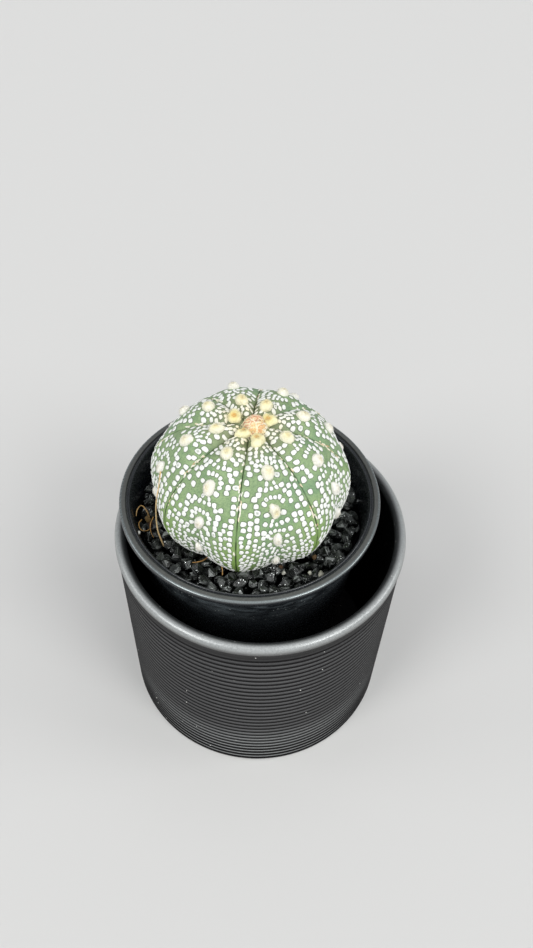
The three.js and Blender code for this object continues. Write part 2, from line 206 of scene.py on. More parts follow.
# Sparse specks, such as dust: 1 on a speck, 0 beside it
def makeSpeckGroup():
    inputs = {"Spacing": 2.0, "Radius": 0.1, "Share": 0.2}
    group, start, end = newGroup("specks", inputs, {"Mask": "NodeSocketFloat"})
    scale = calculate(group, "DIVIDE", 1 / mm, start.outputs["Spacing"])
    cells = addNode(group, "ShaderNodeTexVoronoi", {"Vector": objectCoordinates(group), "Scale": scale})
    near = calculate(group, "LESS_THAN", cells.outputs["Distance"], start.outputs["Radius"])
    tone = addNode(group, "ShaderNodeSeparateColor", {"Color": cells.outputs["Color"]}).outputs["Red"]
    chosen = calculate(group, "LESS_THAN", tone, start.outputs["Share"])
    group.links.new(calculate(group, "MULTIPLY", near, chosen), end.inputs["Mask"])
    return group


grainGroup = makeGrainGroup()
speckGroup = makeSpeckGroup()


def grainNode(tree, size, fineness, dark, light):
    inputs = {"Size": size, "Fineness": fineness, "Dark": (*dark, 1), "Light": (*light, 1)}
    return addNode(tree, "ShaderNodeGroup", inputs, node_tree=grainGroup)


def speckMask(tree, spacing, radius, share):
    inputs = {"Spacing": spacing, "Radius": radius, "Share": share}
    return addNode(tree, "ShaderNodeGroup", inputs, node_tree=speckGroup).outputs["Mask"]


def newMaterial(name):
    material = bpy.data.materials.new(name)
    material.use_nodes = True
    tree = material.node_tree
    return material, tree, tree.nodes["Principled BSDF"]


# The depth is that of the relief, in millimetres
def setShader(tree, shader, colour, roughness, height, depth, **others):
    bump = addNode(tree, "ShaderNodeBump", {"Height": height, "Distance": depth * mm, "Strength": 1.0})
    feed(tree, shader.inputs["Base Color"], colour)
    feed(tree, shader.inputs["Roughness"], roughness)
    feed(tree, shader.inputs["Normal"], bump.outputs["Normal"])
    for label, value in others.items():
        feed(tree, shader.inputs[label.replace("_", " ")], value)


# Grain darkens the tone and gives the relief
def setGrained(tree, shader, tone, grain, share, roughness, depth, **others):
    texture = grainNode(tree, *grain, (1, 1, 1))
    colour = mixColour(tree, share, tone, texture.outputs["Color"], "MULTIPLY")
    setShader(tree, shader, colour, roughness, texture.outputs["Height"], depth, **others)


# The tone of each copy follows its own tint, from 0 to 1
def tintedMaterial(name, tones, finish):
    material, tree, shader = newMaterial(name)
    setGrained(tree, shader, ramp(tree, attribute(tree, "tint"), tones), **finish)
    return material


# Making and finishing pieces

def selectOnly(piece):
    bpy.ops.object.select_all(action="DESELECT")
    piece.select_set(True)
    bpy.context.view_layer.objects.active = piece


def finishPiece(piece, name, material, nodes=()):
    selectOnly(piece)
    bpy.ops.object.transform_apply(location=True, rotation=True, scale=True)
    piece.name = name
    piece.data.name = name
    piece.data.materials.clear()
    piece.data.materials.append(material)
    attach(piece, "root")
    if nodes:
        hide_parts(*nodes)
    return piece


def smoothStep(value, low, high):
    share = np.clip((value - low) / (high - low), 0, 1)
    return share * share * (3 - 2 * share)


def smoothDrop(value, low, high):
    return smoothStep(-value, -high, -low)


def setAttribute(piece, name, values, domain="POINT"):
    made = piece.data.attributes.new(name, "FLOAT", domain)
    made.data.foreach_set("value", np.asarray(values, np.float32))


def meshPoints(piece):
    points = np.zeros(len(piece.data.vertices) * 3)
    piece.data.vertices.foreach_get("co", points)
    return points.reshape(-1, 3)


# The points and faces of what was just modelled, which itself goes
def takeShape():
    made = bpy.context.object
    points = meshPoints(made)
    faces = [list(face.vertices) for face in made.data.polygons]
    bpy.data.objects.remove(made)
    return points, faces


def newPiece(name, points, faces):
    mesh = bpy.data.meshes.new(name)
    mesh.from_pydata(points, [], faces)
    piece = bpy.data.objects.new(name, mesh)
    bpy.context.scene.collection.objects.link(piece)
    selectOnly(piece)
    return piece


def joinPieces(pieces, name):
    selectOnly(pieces[0])
    for piece in pieces:
        piece.select_set(True)
    bpy.ops.object.join()
    joined = bpy.context.object
    joined.name = name
    return joined


# Many small shapes, each as points and faces, become one mesh; the values are one for each shape
def joinShapes(name, shapes, **values):
    points, faces, total = [], [], 0
    for corners, shapeFaces in shapes:
        points += corners.tolist()
        faces += [[total + i for i in face] for face in shapeFaces]
        total += len(corners)
    piece = newPiece(name, points, faces)
    for label, each in values.items():
        setAttribute(piece, label, np.repeat(each, [len(corners) for corners, _ in shapes]))
    return piece


# A vertex is walked along a profile of (radius, height) in millimetres, and its line is spun; points
# closer than a hair are merged, and edges are smooth up to the sharpest angle
def turnProfile(profile, axis, steps, closer=0.002, sharpest=40):
    bpy.ops.object.select_all(action="DESELECT")
    start = Vector((axis[0] + profile[0][0], axis[1], profile[0][1])) * mm
    bpy.ops.mesh.primitive_plane_add(size=mm, location=start)
    bpy.ops.object.mode_set(mode="EDIT")
    bpy.ops.mesh.merge(type="CENTER")
    for here, there in zip(profile, profile[1:]):
        step = Vector((there[0] - here[0], 0, there[1] - here[1])) * mm
        bpy.ops.mesh.extrude_region_move(TRANSFORM_OT_translate={"value": step})
    bpy.ops.mesh.select_all(action="SELECT")
    centre = (axis[0] * mm, axis[1] * mm, 0)
    bpy.ops.mesh.spin(steps=steps, angle=2 * math.pi, center=centre, axis=(0, 0, 1))
    bpy.ops.mesh.select_all(action="SELECT")
    bpy.ops.mesh.remove_doubles(threshold=closer * mm)
    bpy.ops.mesh.normals_make_consistent(inside=False)
    bpy.ops.object.mode_set(mode="OBJECT")
    bpy.ops.object.transform_apply(location=True, rotation=True, scale=True)
    bpy.ops.object.shade_smooth_by_angle(angle=math.radians(sharpest))
    return bpy.context.object


# Points round an ellipse from one angle to another, in degrees from +X towards +Z
def arc(middle, radii, first, last, count):
    points = []
    for i in range(count):
        turn = math.radians(first + (last - first) * i / (count - 1))
        points.append((middle[0] + radii[0] * math.cos(turn), middle[1] + radii[1] * math.sin(turn)))
    return points


# Cover pot

coverPot = {
    "bodyRadius": 56.3,
    "rimMiddle": (54.55, 96.5),  # of the rolled rim's section
    "rimRadii": (2.25, 2.5),
    "rimArc": (-52, 180, 20),  # first and last degree, and points
    "neck": (55.75, 93.2),
    "neckShade": 0.75,
    "ringCount": 30,
    "ringPitch": 3.0,
    "ringDepth": 0.7,
    "ringRoundness": 0.75,
    "firstRing": 1.6,
    "ringPoints": 6,
    "ringShift": 0.6,  # where the painted bright line of each ring lies,
    "ringLine": (0.3, 0.52),  # the share of the ring over which it starts,
    "lowRingLine": 0.13,  # and how much later it does so at the foot
    "faintRings": (83, 91, 0.35),  # heights over which the lines get fainter under more painted shade, and by how much
    "floor": 6.0,
    "bore": 53.2,
    "boreTop": 94.0,
    "insideShade": 0.85,
    "foot": (49.2, 54.7),  # inner and outer radius of the ring that it stands on
    "footRecess": 1.2,
    "lowSheen": (5, 35),  # heights over which the painted sheen at the foot ends
    "rimSheen": 0.4,  # and the rim's painted sheen, which starts over these heights and radii
    "rimSheenHeights": (96.2, 98),
    "rimSheenRadii": (53.6, 55.4),
    "steps": 168,
    "glaze": ((0.014, 0.015, 0.015), (0.032, 0.034, 0.034)),  # dark and light of its grain
    # lighter metallic graphite of the painted sheen, a painted highlight on the foot's rings and the rim's
    # shoulder
    "paintedSheen": ((0.56, 0.59, 0.58), (0.9, 0.94, 0.925)),
    "shade": (0.009, 0.008, 0.009, 1),
    "dust": (0.6, 0.6, 0.56, 1),
}


def makeCoverPot(s):
    footInner, footOuter = s["foot"]
    profile = [
        (0, s["footRecess"]),
        (footInner - s["footRecess"], s["footRecess"]),
        (footInner, 0),
        (footOuter, 0),
        (footOuter + 0.6, 0.2),
    ]
    for ring in range(s["ringCount"]):
        for i in range(s["ringPoints"]):
            share = i / s["ringPoints"]
            hollow = s["ringDepth"] * (1 - math.sin(math.pi * share) ** s["ringRoundness"])
            profile.append((s["bodyRadius"] - hollow, s["firstRing"] + (ring + share) * s["ringPitch"]))
    profile += [(s["neck"][0] + 0.1, s["neck"][1] - 1.6), s["neck"]]
    profile += arc(s["rimMiddle"], s["rimRadii"], *s["rimArc"])
    profile += [
        (s["bore"] + 0.1, s["boreTop"]),
        (s["bore"], s["floor"] + 3),
        (s["bore"] - 0.8, s["floor"] + 0.8),
        (s["bore"] - 3, s["floor"]),
        (0, s["floor"]),
    ]
    pot = turnProfile(profile, (0, 0), s["steps"])
    points = meshPoints(pot) / mm
    radius, height = np.hypot(points[:, 0], points[:, 1]), points[:, 2]
    inside = (radius < s["bore"] + 0.3) & (height < 95.7)
    neckTop = s["neck"][1] + 1.2
    neck = (height > neckTop - 2.9) & (height < neckTop + 1.4)
    share = ((height - s["firstRing"]) / s["ringPitch"] + s["ringShift"]) % 1
    # Painted sheen: the rings near the foot and the rim's outer shoulder get a lighter metallic graphite as
    # a painted highlight
    low = smoothDrop(height, *s["lowSheen"])
    first, last = (edge + s["lowRingLine"] * low for edge in s["ringLine"])
    # Painted shade on the lower side of each ring, and a painted bright line on its upper side
    rings = 1 - smoothStep(share, first, last) * smoothDrop(share, 0.8, 0.98)
    faintFrom, faintTo, fainter = s["faintRings"]
    rings += (1 - rings) * fainter * smoothStep(height, faintFrom, faintTo)
    shade = np.where(height < neckTop, rings, 0.0)
    shade = np.where(inside, s["insideShade"], np.where(neck, s["neckShade"], shade))
    rimSheen = s["rimSheen"] * smoothStep(height, *s["rimSheenHeights"])
    paintedSheen = np.maximum(low, rimSheen * smoothStep(radius, *s["rimSheenRadii"]))
    setAttribute(pot, "shade", shade)
    setAttribute(pot, "paintedSheen", paintedSheen * ~inside)
    return pot


# Painted shade makes the lower side of each ring, the neck and the inside a dull black, with black metal
# that kills their reflections, leaving a bright line on each ring's upper side; a painted sheen of lighter
# metallic graphite brightens the lines at the foot and the rim's shoulder
def glazeMaterial(s):
    material, tree, shader = newMaterial("satinGlaze")
    body = grainNode(tree, 1.1, 6.0, *s["glaze"])
    paintedSheen = attribute(tree, "paintedSheen")
    metal = grainNode(tree, 0.6, 5.0, *s["paintedSheen"])
    graphite = mixColour(tree, paintedSheen, body.outputs["Color"], metal.outputs["Color"])
    shade = attribute(tree, "shade")
    shaded = mixColour(tree, shade, graphite, s["shade"])
    dust = speckMask(tree, 4.0, 0.06, 0.4)
    colour = mixColour(tree, dust, shaded, s["dust"])
    satin = spread(tree, noise(tree, 0.45, 4.0), 0.3, 0.7, 0.26, 0.42)
    rough = calculate(tree, "ADD", satin, calculate(tree, "MULTIPLY", shade, 0.22))
    # Painted shade gets black metal, which kills its reflections, and the painted sheen is partly metallic
    metallic = calculate(tree, "MAXIMUM", shade, calculate(tree, "MULTIPLY", paintedSheen, 0.75))
    metallic = calculate(tree, "MULTIPLY", metallic, calculate(tree, "SUBTRACT", 1.0, dust))
    setShader(tree, shader, colour, rough, noise(tree, 0.4), depth=0.07, IOR=2.1, Metallic=metallic)
    return material


coverShell = makeCoverPot(coverPot)
finishPiece(coverShell, "cover_pot_shell", glazeMaterial(coverPot), ["cover_pot"])
print("cover pot made")


# Nursery pot

nurseryPot = {
    "axis": (-4.5, 5.3),
    "foot": 6.3,
    "rimTop": 110.3,
    "rimRadius": 50.0,
    "lipInner": 47.6,
    "lipThickness": 2.6,
    # The groove and ledge inside the lip, from its inner edge and top
    "ledge": [(-0.15, -0.8), (-0.4, -0.95), (-0.85, -0.95), (-1.05, -0.5), (-1.25, -0.4), (-1.5, -0.45)],
    "wall": 1.3,
    "floor": 1.8,
    "waist": 100.8,
    "waistRadius": 44.2,  # inside, as the two below
    "shoulderRadius": 45.6,
    "footRadius": 34.9,
    "drainCount": 6,
    "drainRadius": 3.4,
    "drainSides": 32,
    "drillDepth": 8.0,
    "drainCircle": 24.0,
    "steps": 160,
    "plastic": ((0.010, 0.012, 0.014), (0.018, 0.021, 0.024)),
    "lip": ((0.05, 0.052, 0.049), (0.074, 0.077, 0.072)),
    # bluish colour of the dust and the painted sheen that lighten the outer wall towards the lip
    "dustAndSheen": (0.165, 0.195, 0.208, 1),
    # painted highlight along the lip's rounded outer edge, a light metallic grey
    "edge": (0.2, 0.225, 0.225, 1),
    "dust": (0.5, 0.52, 0.5, 1),
}


def nurseryWall(z):
    s = nurseryPot
    if z > s["waist"]:
        share = (z - s["waist"]) / (s["rimTop"] - s["waist"])
        return s["waistRadius"] + share * (s["shoulderRadius"] - s["waistRadius"])
    share = (z - s["foot"]) / (s["waist"] - s["foot"])
    return s["footRadius"] + share * (s["waistRadius"] - s["footRadius"])


def makeNurseryPot(s):
    foot, top, wall, lip = s["foot"], s["rimTop"], s["wall"], s["lipInner"]
    under = top - s["lipThickness"]
    floor = foot + s["floor"]
    profile = [(0, foot), (s["footRadius"] + wall - 1, foot), (nurseryWall(foot + 1) + wall, foot + 1)]
    for i in range(1, 9):
        z = foot + 1 + (s["waist"] - foot - 1) * i / 8
        profile.append((nurseryWall(z) + wall, z))
    profile += [
        (nurseryWall(under) + wall, under - 1.2),
        (nurseryWall(under) + wall + 0.5, under - 0.35),
        (s["rimRadius"] - 0.7, under),
    ]
    profile += arc((s["rimRadius"] - 0.5, under + 0.5), (0.5, 0.5), -70, 0, 4)
    profile += arc((s["rimRadius"] - 1, top - 1), (1, 1), 0, 90, 9)
    profile += arc((lip + 0.25, top - 0.25), (0.25, 0.25), 90, 170, 4)
    profile += [(lip + out, top + up) for out, up in s["ledge"]]
    profile += [(nurseryWall(top - 1.4) + 0.1, top - 1.3), (nurseryWall(top - 2), top - 2.2)]
    for i in range(1, 5):
        z = top - 2.2 - (top - 2.2 - s["waist"]) * i / 4
        profile.append((nurseryWall(z), z))
    profile += [
        (nurseryWall(floor + 3), floor + 3),
        (nurseryWall(floor) - 0.5, floor + 0.6),
        (nurseryWall(floor) - 2, floor),
        (0, floor),
    ]
    pot = turnProfile(profile, s["axis"], s["steps"])
    cutters = []
    for i in range(s["drainCount"]):
        turn = 2 * math.pi * i / s["drainCount"]
        x = s["axis"][0] + s["drainCircle"] * math.cos(turn)
        y = s["axis"][1] + s["drainCircle"] * math.sin(turn)
        bpy.ops.mesh.primitive_cylinder_add(
            vertices=s["drainSides"],
            radius=s["drainRadius"] * mm,
            depth=s["drillDepth"] * mm,
            location=(x * mm, y * mm, foot * mm),
        )
        cutters.append(bpy.context.object)
    drill = joinPieces(cutters, "drill")
    selectOnly(pot)
    cut = pot.modifiers.new("drains", "BOOLEAN")
    cut.operation = "DIFFERENCE"
    cut.object = drill
    bpy.ops.object.modifier_apply(modifier=cut.name)
    bpy.data.objects.remove(drill)
    points = meshPoints(pot) / mm
    radius = np.hypot(points[:, 0] - s["axis"][0], points[:, 1] - s["axis"][1])
    outer = np.array([nurseryWall(z) for z in points[:, 2]]) + wall - 0.2
    outside = (radius > outer) & (points[:, 2] < under)
    # Dust and a painted sheen lighten the outer wall towards the lip
    setAttribute(pot, "dustAndSheen", outside * smoothStep(points[:, 2], 90, 108))
    lipTop = (radius > lip - 0.1) & (radius < s["rimRadius"] - 0.95) & (points[:, 2] > top - 1.35)
    setAttribute(pot, "matte", lipTop)
    # A painted highlight, light and metallic, runs along the lip's rounded outer edge
    fromRim = s["rimRadius"] - radius
    edge = smoothDrop(fromRim, 0.75, 1) * smoothStep(fromRim, 0.08, 0.25) * (points[:, 2] > top - 1.01)
    setAttribute(pot, "edge", edge)
    return pot


def plasticMaterial(s):
    material, tree, shader = newMaterial("blackPlastic")
    body = grainNode(tree, 2.5, 4.0, *s["plastic"])
    # Dust and a painted sheen, in streaks, on the outer wall under the lip
    dustAndSheen = attribute(tree, "dustAndSheen")
    streaks = spread(tree, noise(tree, 7.0, 5.0, (1, 1, 4)), 0.4, 0.66)
    dustySheen = calculate(tree, "MULTIPLY", streaks, dustAndSheen)
    dustySheenPlastic = mixColour(tree, dustySheen, body.outputs["Color"], s["dustAndSheen"])
    matte = attribute(tree, "matte")
    lip = grainNode(tree, 1.0, 5.0, *s["lip"])
    dustySheenPlastic = mixColour(tree, matte, dustySheenPlastic, lip.outputs["Color"])
    # Painted highlight: the lip's outer edge turns a light metallic grey
    edge = attribute(tree, "edge")
    dustySheenPlastic = mixColour(tree, edge, dustySheenPlastic, s["edge"])
    metallic = calculate(tree, "MULTIPLY", edge, 0.7)
    dustShare = spread(tree, dustAndSheen, 0.0, 0.6, 0.1, 1.0)
    dust = calculate(tree, "MULTIPLY", speckMask(tree, 1.4, 0.15, 0.4), dustShare)
    colour = mixColour(tree, dust, dustySheenPlastic, s["dust"])
    gloss = spread(tree, noise(tree, 0.8, 4.0), 0.3, 0.7, 0.25, 0.3)
    rough = calculate(tree, "ADD", gloss, calculate(tree, "MULTIPLY", matte, 0.35))
    setShader(tree, shader, colour, rough, noise(tree, 0.4), depth=0.006, IOR=1.65, Metallic=metallic)
    return material


nurseryShell = makeNurseryPot(nurseryPot)
finishPiece(nurseryShell, "nursery_pot_shell", plasticMaterial(nurseryPot), ["nursery_pot"])
print("nursery pot made")


# The cactus skin: reach from the heart by angle from the crown, as in the frame

body = {
    "axis": (-4.6, 3.3),
    "heart": 117.8,
    "reachStep": 18.0,
    "crestReach": [30, 33.1, 35.6, 36, 36, 34.3, 31.8, 29.5],
    "grooveReach": [30, 30.2, 33, 35.6, 37.6, 36.9, 34.8, 32.6],
    "ribAzimuths": [-72, -24.5, 18.5, 60.5, 108, 151, 195, 241.5],
    "roundAngle": 36,  # the ribs' section is round down to here,
    "flatAngle": 84,  # and flat with a cornered groove from here on
    "roundPower": 2.0,
    "flatPower": 0.75,
    "creaseDepth": 0.45,
    "creaseWidth": 0.032,
    "creasePower": 1.5,
    "creaseFrom": (4, 20),  # degrees over which it starts
    "buriedAngle": 126.0,
    "bodyShare": 0.88,  # of the mesh's rows; the rest goes to the underside and the root
    "segments": 448,
    "rings": 168,
    "crowding": 1.4,  # of the mesh's columns towards the grooves
    "dimple": 0.45,  # under each woolly cushion, from these angles on
    "dimpleFrom": (50, 75),
    "dimpleRadius": 4.0,
    "flatReach": 36,  # by which millimetres on the skin become degrees
    # The underside and taproot, as radius and height
    "rootPath": [(14, 94.8), (6, 94.3), (5.8, 88), (4.2, 74.5), (2.6, 60), (1.6, 50.6), (0, 50.3)],
    "green": ((0.15, 0.24, 0.108), (0.262, 0.37, 0.175)),
    "bluish": (0.1, 0.23, 0.12, 1),
    "spots": (0.33, 0.46, 0.24, 1),
    "fresh": (0.22, 0.36, 0.08, 1),
    "olive": (0.2, 0.17, 0.095, 1),
    # painted shade along the crease of each groove
    "groove": (0.022, 0.05, 0.012, 1),
    "root": ((0.16, 0.1, 0.05), (0.34, 0.24, 0.14)),
}

# Angles of the woolly cushions down each rib, in degrees from the crown
cushionAngles = [
    [15, 36, 57, 75, 97],
    [24, 45, 66, 87],
    [12, 33, 54, 75, 96],
    [18, 38, 59, 80, 101],
    [21, 41, 62, 83, 104],
    [12, 30, 51, 72, 93],
    [21, 39, 63, 84, 105],
    [9, 27, 48, 69, 90],
]
degree = math.pi / 180


def meridian(reaches, angle):
    reaches = np.array(reaches, float)
    last = len(reaches) - 1
    place = np.clip(angle / body["reachStep"], 0, last - 1e-9)
    index = place.astype(int)
    t = place - index
    before = reaches[np.maximum(index - 1, 0)]
    here = reaches[index]
    there = reaches[index + 1]
    after = reaches[np.minimum(index + 2, last)]
    slopeIn = (there - before) / 2
    slopeOut = (after - here) / 2
    cubic = 2 * here - 2 * there + slopeIn + slopeOut
    square = -3 * here + 3 * there - 2 * slopeIn - slopeOut
    return cubic * t**3 + square * t**2 + slopeIn * t + here


# Azimuth of a place across a rib, from -1 at the groove before it to 1 at the next one
def ribAzimuth(rib, edge):
    azimuths = np.array(body["ribAzimuths"])
    following = np.append(azimuths[1:], azimuths[0] + 360)
    previous = np.append(azimuths[-1] - 360, azimuths[:-1])
    neighbour = np.where(edge < 0, previous[rib], following[rib])
    return azimuths[rib] + np.abs(edge) * (neighbour - azimuths[rib]) / 2


# Millimetres from the middle of a rib to its groove, on the side that the edge's sign gives
def halfWidth(rib, edge, angle):
    side = np.where(edge < 0, -1.0, 1.0)
    span = np.abs(ribAzimuth(rib, side) - ribAzimuth(rib, side * 0)) * degree
    return span * meridian(body["crestReach"], angle) * np.sin(angle * degree)


def skinPoint(angle, rib, edge):
    flank = smoothStep(angle, body["roundAngle"], body["flatAngle"])
    power = body["roundPower"] + (body["flatPower"] - body["roundPower"]) * flank
    across = np.abs(edge)
    crest = meridian(body["crestReach"], angle)
    reach = crest + (meridian(body["grooveReach"], angle) - crest) * across**power
    fromGroove = (1 - across) / body["creaseWidth"]
    crease = np.maximum(0, 1 - fromGroove) ** body["creasePower"] * body["creaseDepth"]
    crease = crease * smoothStep(angle, *body["creaseFrom"])
    aside = across * halfWidth(rib, edge, angle)
    for row in range(5):
        centre = np.array([angles[row] if row < len(angles) else 400 for angles in cushionAngles])[rib]
        down = (angle - centre) * degree * crest
        depth = body["dimple"] * smoothStep(angle, *body["dimpleFrom"])
        crease = crease + depth * np.exp(-(down**2 + aside**2) / body["dimpleRadius"] ** 2)
    reach = reach - crease
    azimuth = ribAzimuth(rib, edge) * degree
    outward = reach * np.sin(angle * degree)
    x = body["axis"][0] + outward * np.cos(azimuth)
    y = body["axis"][1] + outward * np.sin(azimuth)
    z = body["heart"] + reach * np.cos(angle * degree)
    return np.stack([x, y, z], -1) * mm


def skinAxes(angle, rib, edge):
    down = skinPoint(angle + 1.5, rib, edge) - skinPoint(angle - 1.5, rib, edge)
    low = np.clip(edge - 0.06, -1, 1)
    high = np.clip(edge + 0.06, -1, 1)
    across = skinPoint(angle, rib, high) - skinPoint(angle, rib, low)
    down = down / np.linalg.norm(down, axis=-1, keepdims=True)
    out = np.cross(down, across)
    out = out / np.linalg.norm(out, axis=-1, keepdims=True)
    return down, np.cross(out, down), out


def makeSkin(s):
    bpy.ops.object.select_all(action="DESELECT")
    bpy.ops.mesh.primitive_uv_sphere_add(segments=s["segments"], ring_count=s["rings"], radius=1)
    skin = bpy.context.object
    points = meshPoints(skin)
    row = np.arccos(np.clip(points[:, 2], -1, 1)) / math.pi
    turn = (np.arctan2(points[:, 1], points[:, 0]) / (2 * math.pi)) % 1
    place = turn * len(s["ribAzimuths"])
    rib = np.minimum(place.astype(int), len(s["ribAzimuths"]) - 1)
    edge = 2 * (place - rib) - 1
    edge = np.sign(edge) * (1 - (1 - np.abs(edge)) ** s["crowding"])
    angle = np.clip(row / s["bodyShare"], 0, 1) * s["buriedAngle"]
    places = skinPoint(angle, rib, edge)

    under = np.clip((row - s["bodyShare"]) / (1 - s["bodyShare"]), 0, 1)
    axis = np.array(s["axis"]) * mm
    rim = np.linalg.norm(places[:, :2] - axis, axis=1)
    heading = (places[:, :2] - axis) / np.maximum(rim, 1e-9)[:, None]
    path = np.array(s["rootPath"]) * mm
    stops = np.linspace(0, 1, len(path) + 1)
    radius = np.interp(under, stops[1:], path[:, 0])
    height = np.interp(under, stops[1:], path[:, 1])
    first = np.clip(under / stops[1], 0, 1)
    radius = np.where(first < 1, rim + (path[0, 0] - rim) * first, radius)
    height = np.where(first < 1, places[:, 2] + (path[0, 1] - places[:, 2]) * first, height)
    below = under > 0
    places[below, :2] = axis + heading[below] * radius[below, None]
    places[below, 2] = height[below]
    skin.data.vertices.foreach_set("co", places.ravel())
    skin.data.update()
    selectOnly(skin)
    bpy.ops.object.shade_smooth()
    # Where the painted shade of the groove's crease lies
    groove = smoothStep(np.abs(edge), 0.972, 0.996) * smoothStep(angle, 14, 34) * (under <= 0)
    setAttribute(skin, "groove", groove)
    setAttribute(skin, "groovePlace", np.abs(edge))
    setAttribute(skin, "angle", angle / 100)
    setAttribute(skin, "buried", under > 0)
    return skin


def skinMaterial(s):
    material, tree, shader = newMaterial("greenSkin")
    broad = grainNode(tree, 4.0, 5.0, *s["green"])
    bluish = calculate(tree, "MULTIPLY", spread(tree, noise(tree, 12.0, 2.0), 0.52, 0.68), 0.6)
    cooler = mixColour(tree, bluish, broad.outputs["Color"], s["bluish"])
    fine = spread(tree, noise(tree, 0.4), 0.35, 0.7)
    spotted = mixColour(tree, calculate(tree, "MULTIPLY", fine, 0.4), cooler, s["spots"])
    low = spread(tree, attribute(tree, "angle"), 0.55, 0.95)
    edge = spread(tree, attribute(tree, "groovePlace"), 0.35, 0.9)
    fresh = calculate(tree, "MULTIPLY", low, edge)
    greener = mixColour(tree, fresh, spotted, s["fresh"])
    olive = spread(tree, attribute(tree, "angle"), 0.18, 0.36, 0.5, 0.0)  # browner round the crown
    greener = mixColour(tree, olive, greener, s["olive"])
    breaks = spread(tree, noise(tree, 5.0), 0.38, 0.52, 0.35, 1.0)
    # Painted shade in the groove's crease, broken up by noise
    broken = calculate(tree, "MULTIPLY", attribute(tree, "groove"), breaks)
    creased = mixColour(tree, broken, greener, s["groove"])
    root = grainNode(tree, 1.5, 5.0, *s["root"])
    colour = mixColour(tree, attribute(tree, "buried"), creased, root.outputs["Color"])
    rough = spread(tree, noise(tree, 1.2), 0.3, 0.7, 0.42, 0.62)
    setShader(tree, shader, colour, rough, fine, depth=0.05)
    return material


skin = makeSkin(body)
finishPiece(skin, "cactus_skin_body", skinMaterial(body), ["cactus_body"])
print("cactus skin made,", len(skin.data.polygons), "faces")


# Crown tuft, which the flecks leave room for

crown = {
    "middle": (-3.2, 3.4, 147.3),
    "radius": 5.2,
    "shift": (0.1, -0.75, 0),  # of the tuft, which is longer than wide
    "shape": (0.87, 1.07),
    "height": 3.6,
    "dome": (32, 18, -0.45, 0.05, 4),  # segments, rings, height of the cut, shake and its seed
    "strands": 210,
    "strandRadius": 0.27,
    "steps": 7,
    "stride": 0.13,
    "edge": 0.88,  # where the strands turn back
    "fringe": 90,  # paler hairs round its edge,
    "fringeShare": 0.55,  # thinner than the strands
    "tones": [
        (0.0, (0.55, 0.24, 0.11)),
        (0.28, (0.84, 0.45, 0.27)),
        (0.5, (0.88, 0.64, 0.29)),
        (0.78, (0.96, 0.86, 0.55)),
        (1.0, (0.98, 0.96, 0.82)),
    ],
    "finish": {
        "grain": (0.35, 3.0, (0.8, 0.72, 0.62)),
        "share": 0.7,
        "roughness": 0.85,
        "depth": 0.12,
        "Sheen_Weight": 0.25,
    },
    "seed": 31,
}


# Felt flecks: rings round each cushion, columns beside them, and nested arches lower down

flecks = {
    "length": 2.12,  # high on the ribs; they are shorter and slimmer further down
    "width": 2.12,
    "height": 0.3,
    "skirt": 0.69,  # the white part's share of a fleck; the rest is its dark rim of painted shadow
    "sides": 10,
    "wobble": 0.06,
    "corners": 3.6,  # the power that makes them a little square
    "poreShare": 0.06,  # of them has a dark middle
    # One side of the pattern from a cushion to the next one down: share of the way, millimetres
    # aside, and size
    "unit": [
        (0.10, 2.95, 1.0), (0.14, 6.3, 1.0), (0.27, 1.25, 0.8), (0.42, 0, 0.75), (0.41, 1.85, 0.92),
        (0.39, 3.75, 0.9), (0.46, 6.3, 1.0), (0.53, 4.6, 0.88), (0.65, 0.76, 0.85), (0.66, 2.3, 0.88),
        (0.66, 6.1, 1.0), (0.77, 3.3, 0.92), (0.84, 6.0, 0.95), (0.9, 3.3, 0.92), (0.99, 6.1, 1.0),
    ],
    "beyond": (21, 19),  # degrees that it goes on above the first cushion and below the last
    "archesFrom": 57,  # from the cushion below this angle, columns spread into arches
    "columns": 5,
    "firstColumn": 5.0,
    "columnGap": 2.55,
    "narrowTop": 0.8,  # the columns' share of their spacing at the top, and how it grows with each degree
    "widening": 0.012,
    "rowGap": 3.5,  # degrees
    "archRise": 0.05,
    "grooveGap": 1.9,
    "grooveSpacing": 2.6,
    "grooveAngles": (38.0, 100),
    "fillers": [(180, 0.95), (300, 0.84), (450, 0.74)],  # tries and size, in the crowded places
    "fillerAngles": [(8, 32), (62, 108), (72, 108)],
    "gap": 1.04,
    "unitGap": 0.88,  # flecks of the unit may stand a little closer
    "turnWithin": 6.2,  # of a cushion, they point away from it
    "cushionRoom": (2.8, 3.2),  # kept free aside of and below a cushion's middle
    "crownRoom": 0.4,
    "downPerDegree": 0.62,  # millimetres
    "firstAngle": 8,
    "lastAngle": 112,
    "felt": ((0.72, 0.74, 0.68), (0.93, 0.94, 0.91)),
    "cream": (0.93, 0.84, 0.56, 1),
    # painted shadow round each fleck, dark green, browner near the crown
    "rim": ((0.022, 0.045, 0.015), (0.05, 0.085, 0.03)),
    "brownRimShadow": (0.1, 0.075, 0.03, 1),
    "seed": 11,
}


def fleckTemplate(s):
    bpy.ops.object.select_all(action="DESELECT")
    bpy.ops.mesh.primitive_circle_add(vertices=s["sides"], radius=1, fill_type="NGON")
    bpy.ops.object.mode_set(mode="EDIT")
    reach, lift = 1.0, 0.0
    for newReach, newLift in [(s["skirt"] + 0.08, 0.12), (s["skirt"], 0.6), (0.5, 0.95)]:
        bpy.ops.mesh.extrude_region_move(TRANSFORM_OT_translate={"value": (0, 0, newLift - lift)})
        shrink = newReach / reach
        bpy.ops.transform.resize(value=(shrink, shrink, 1), center_override=(0, 0, 0))
        reach, lift = newReach, newLift
    bpy.ops.mesh.poke(offset=0.05)
    bpy.ops.object.mode_set(mode="OBJECT")
    return takeShape()


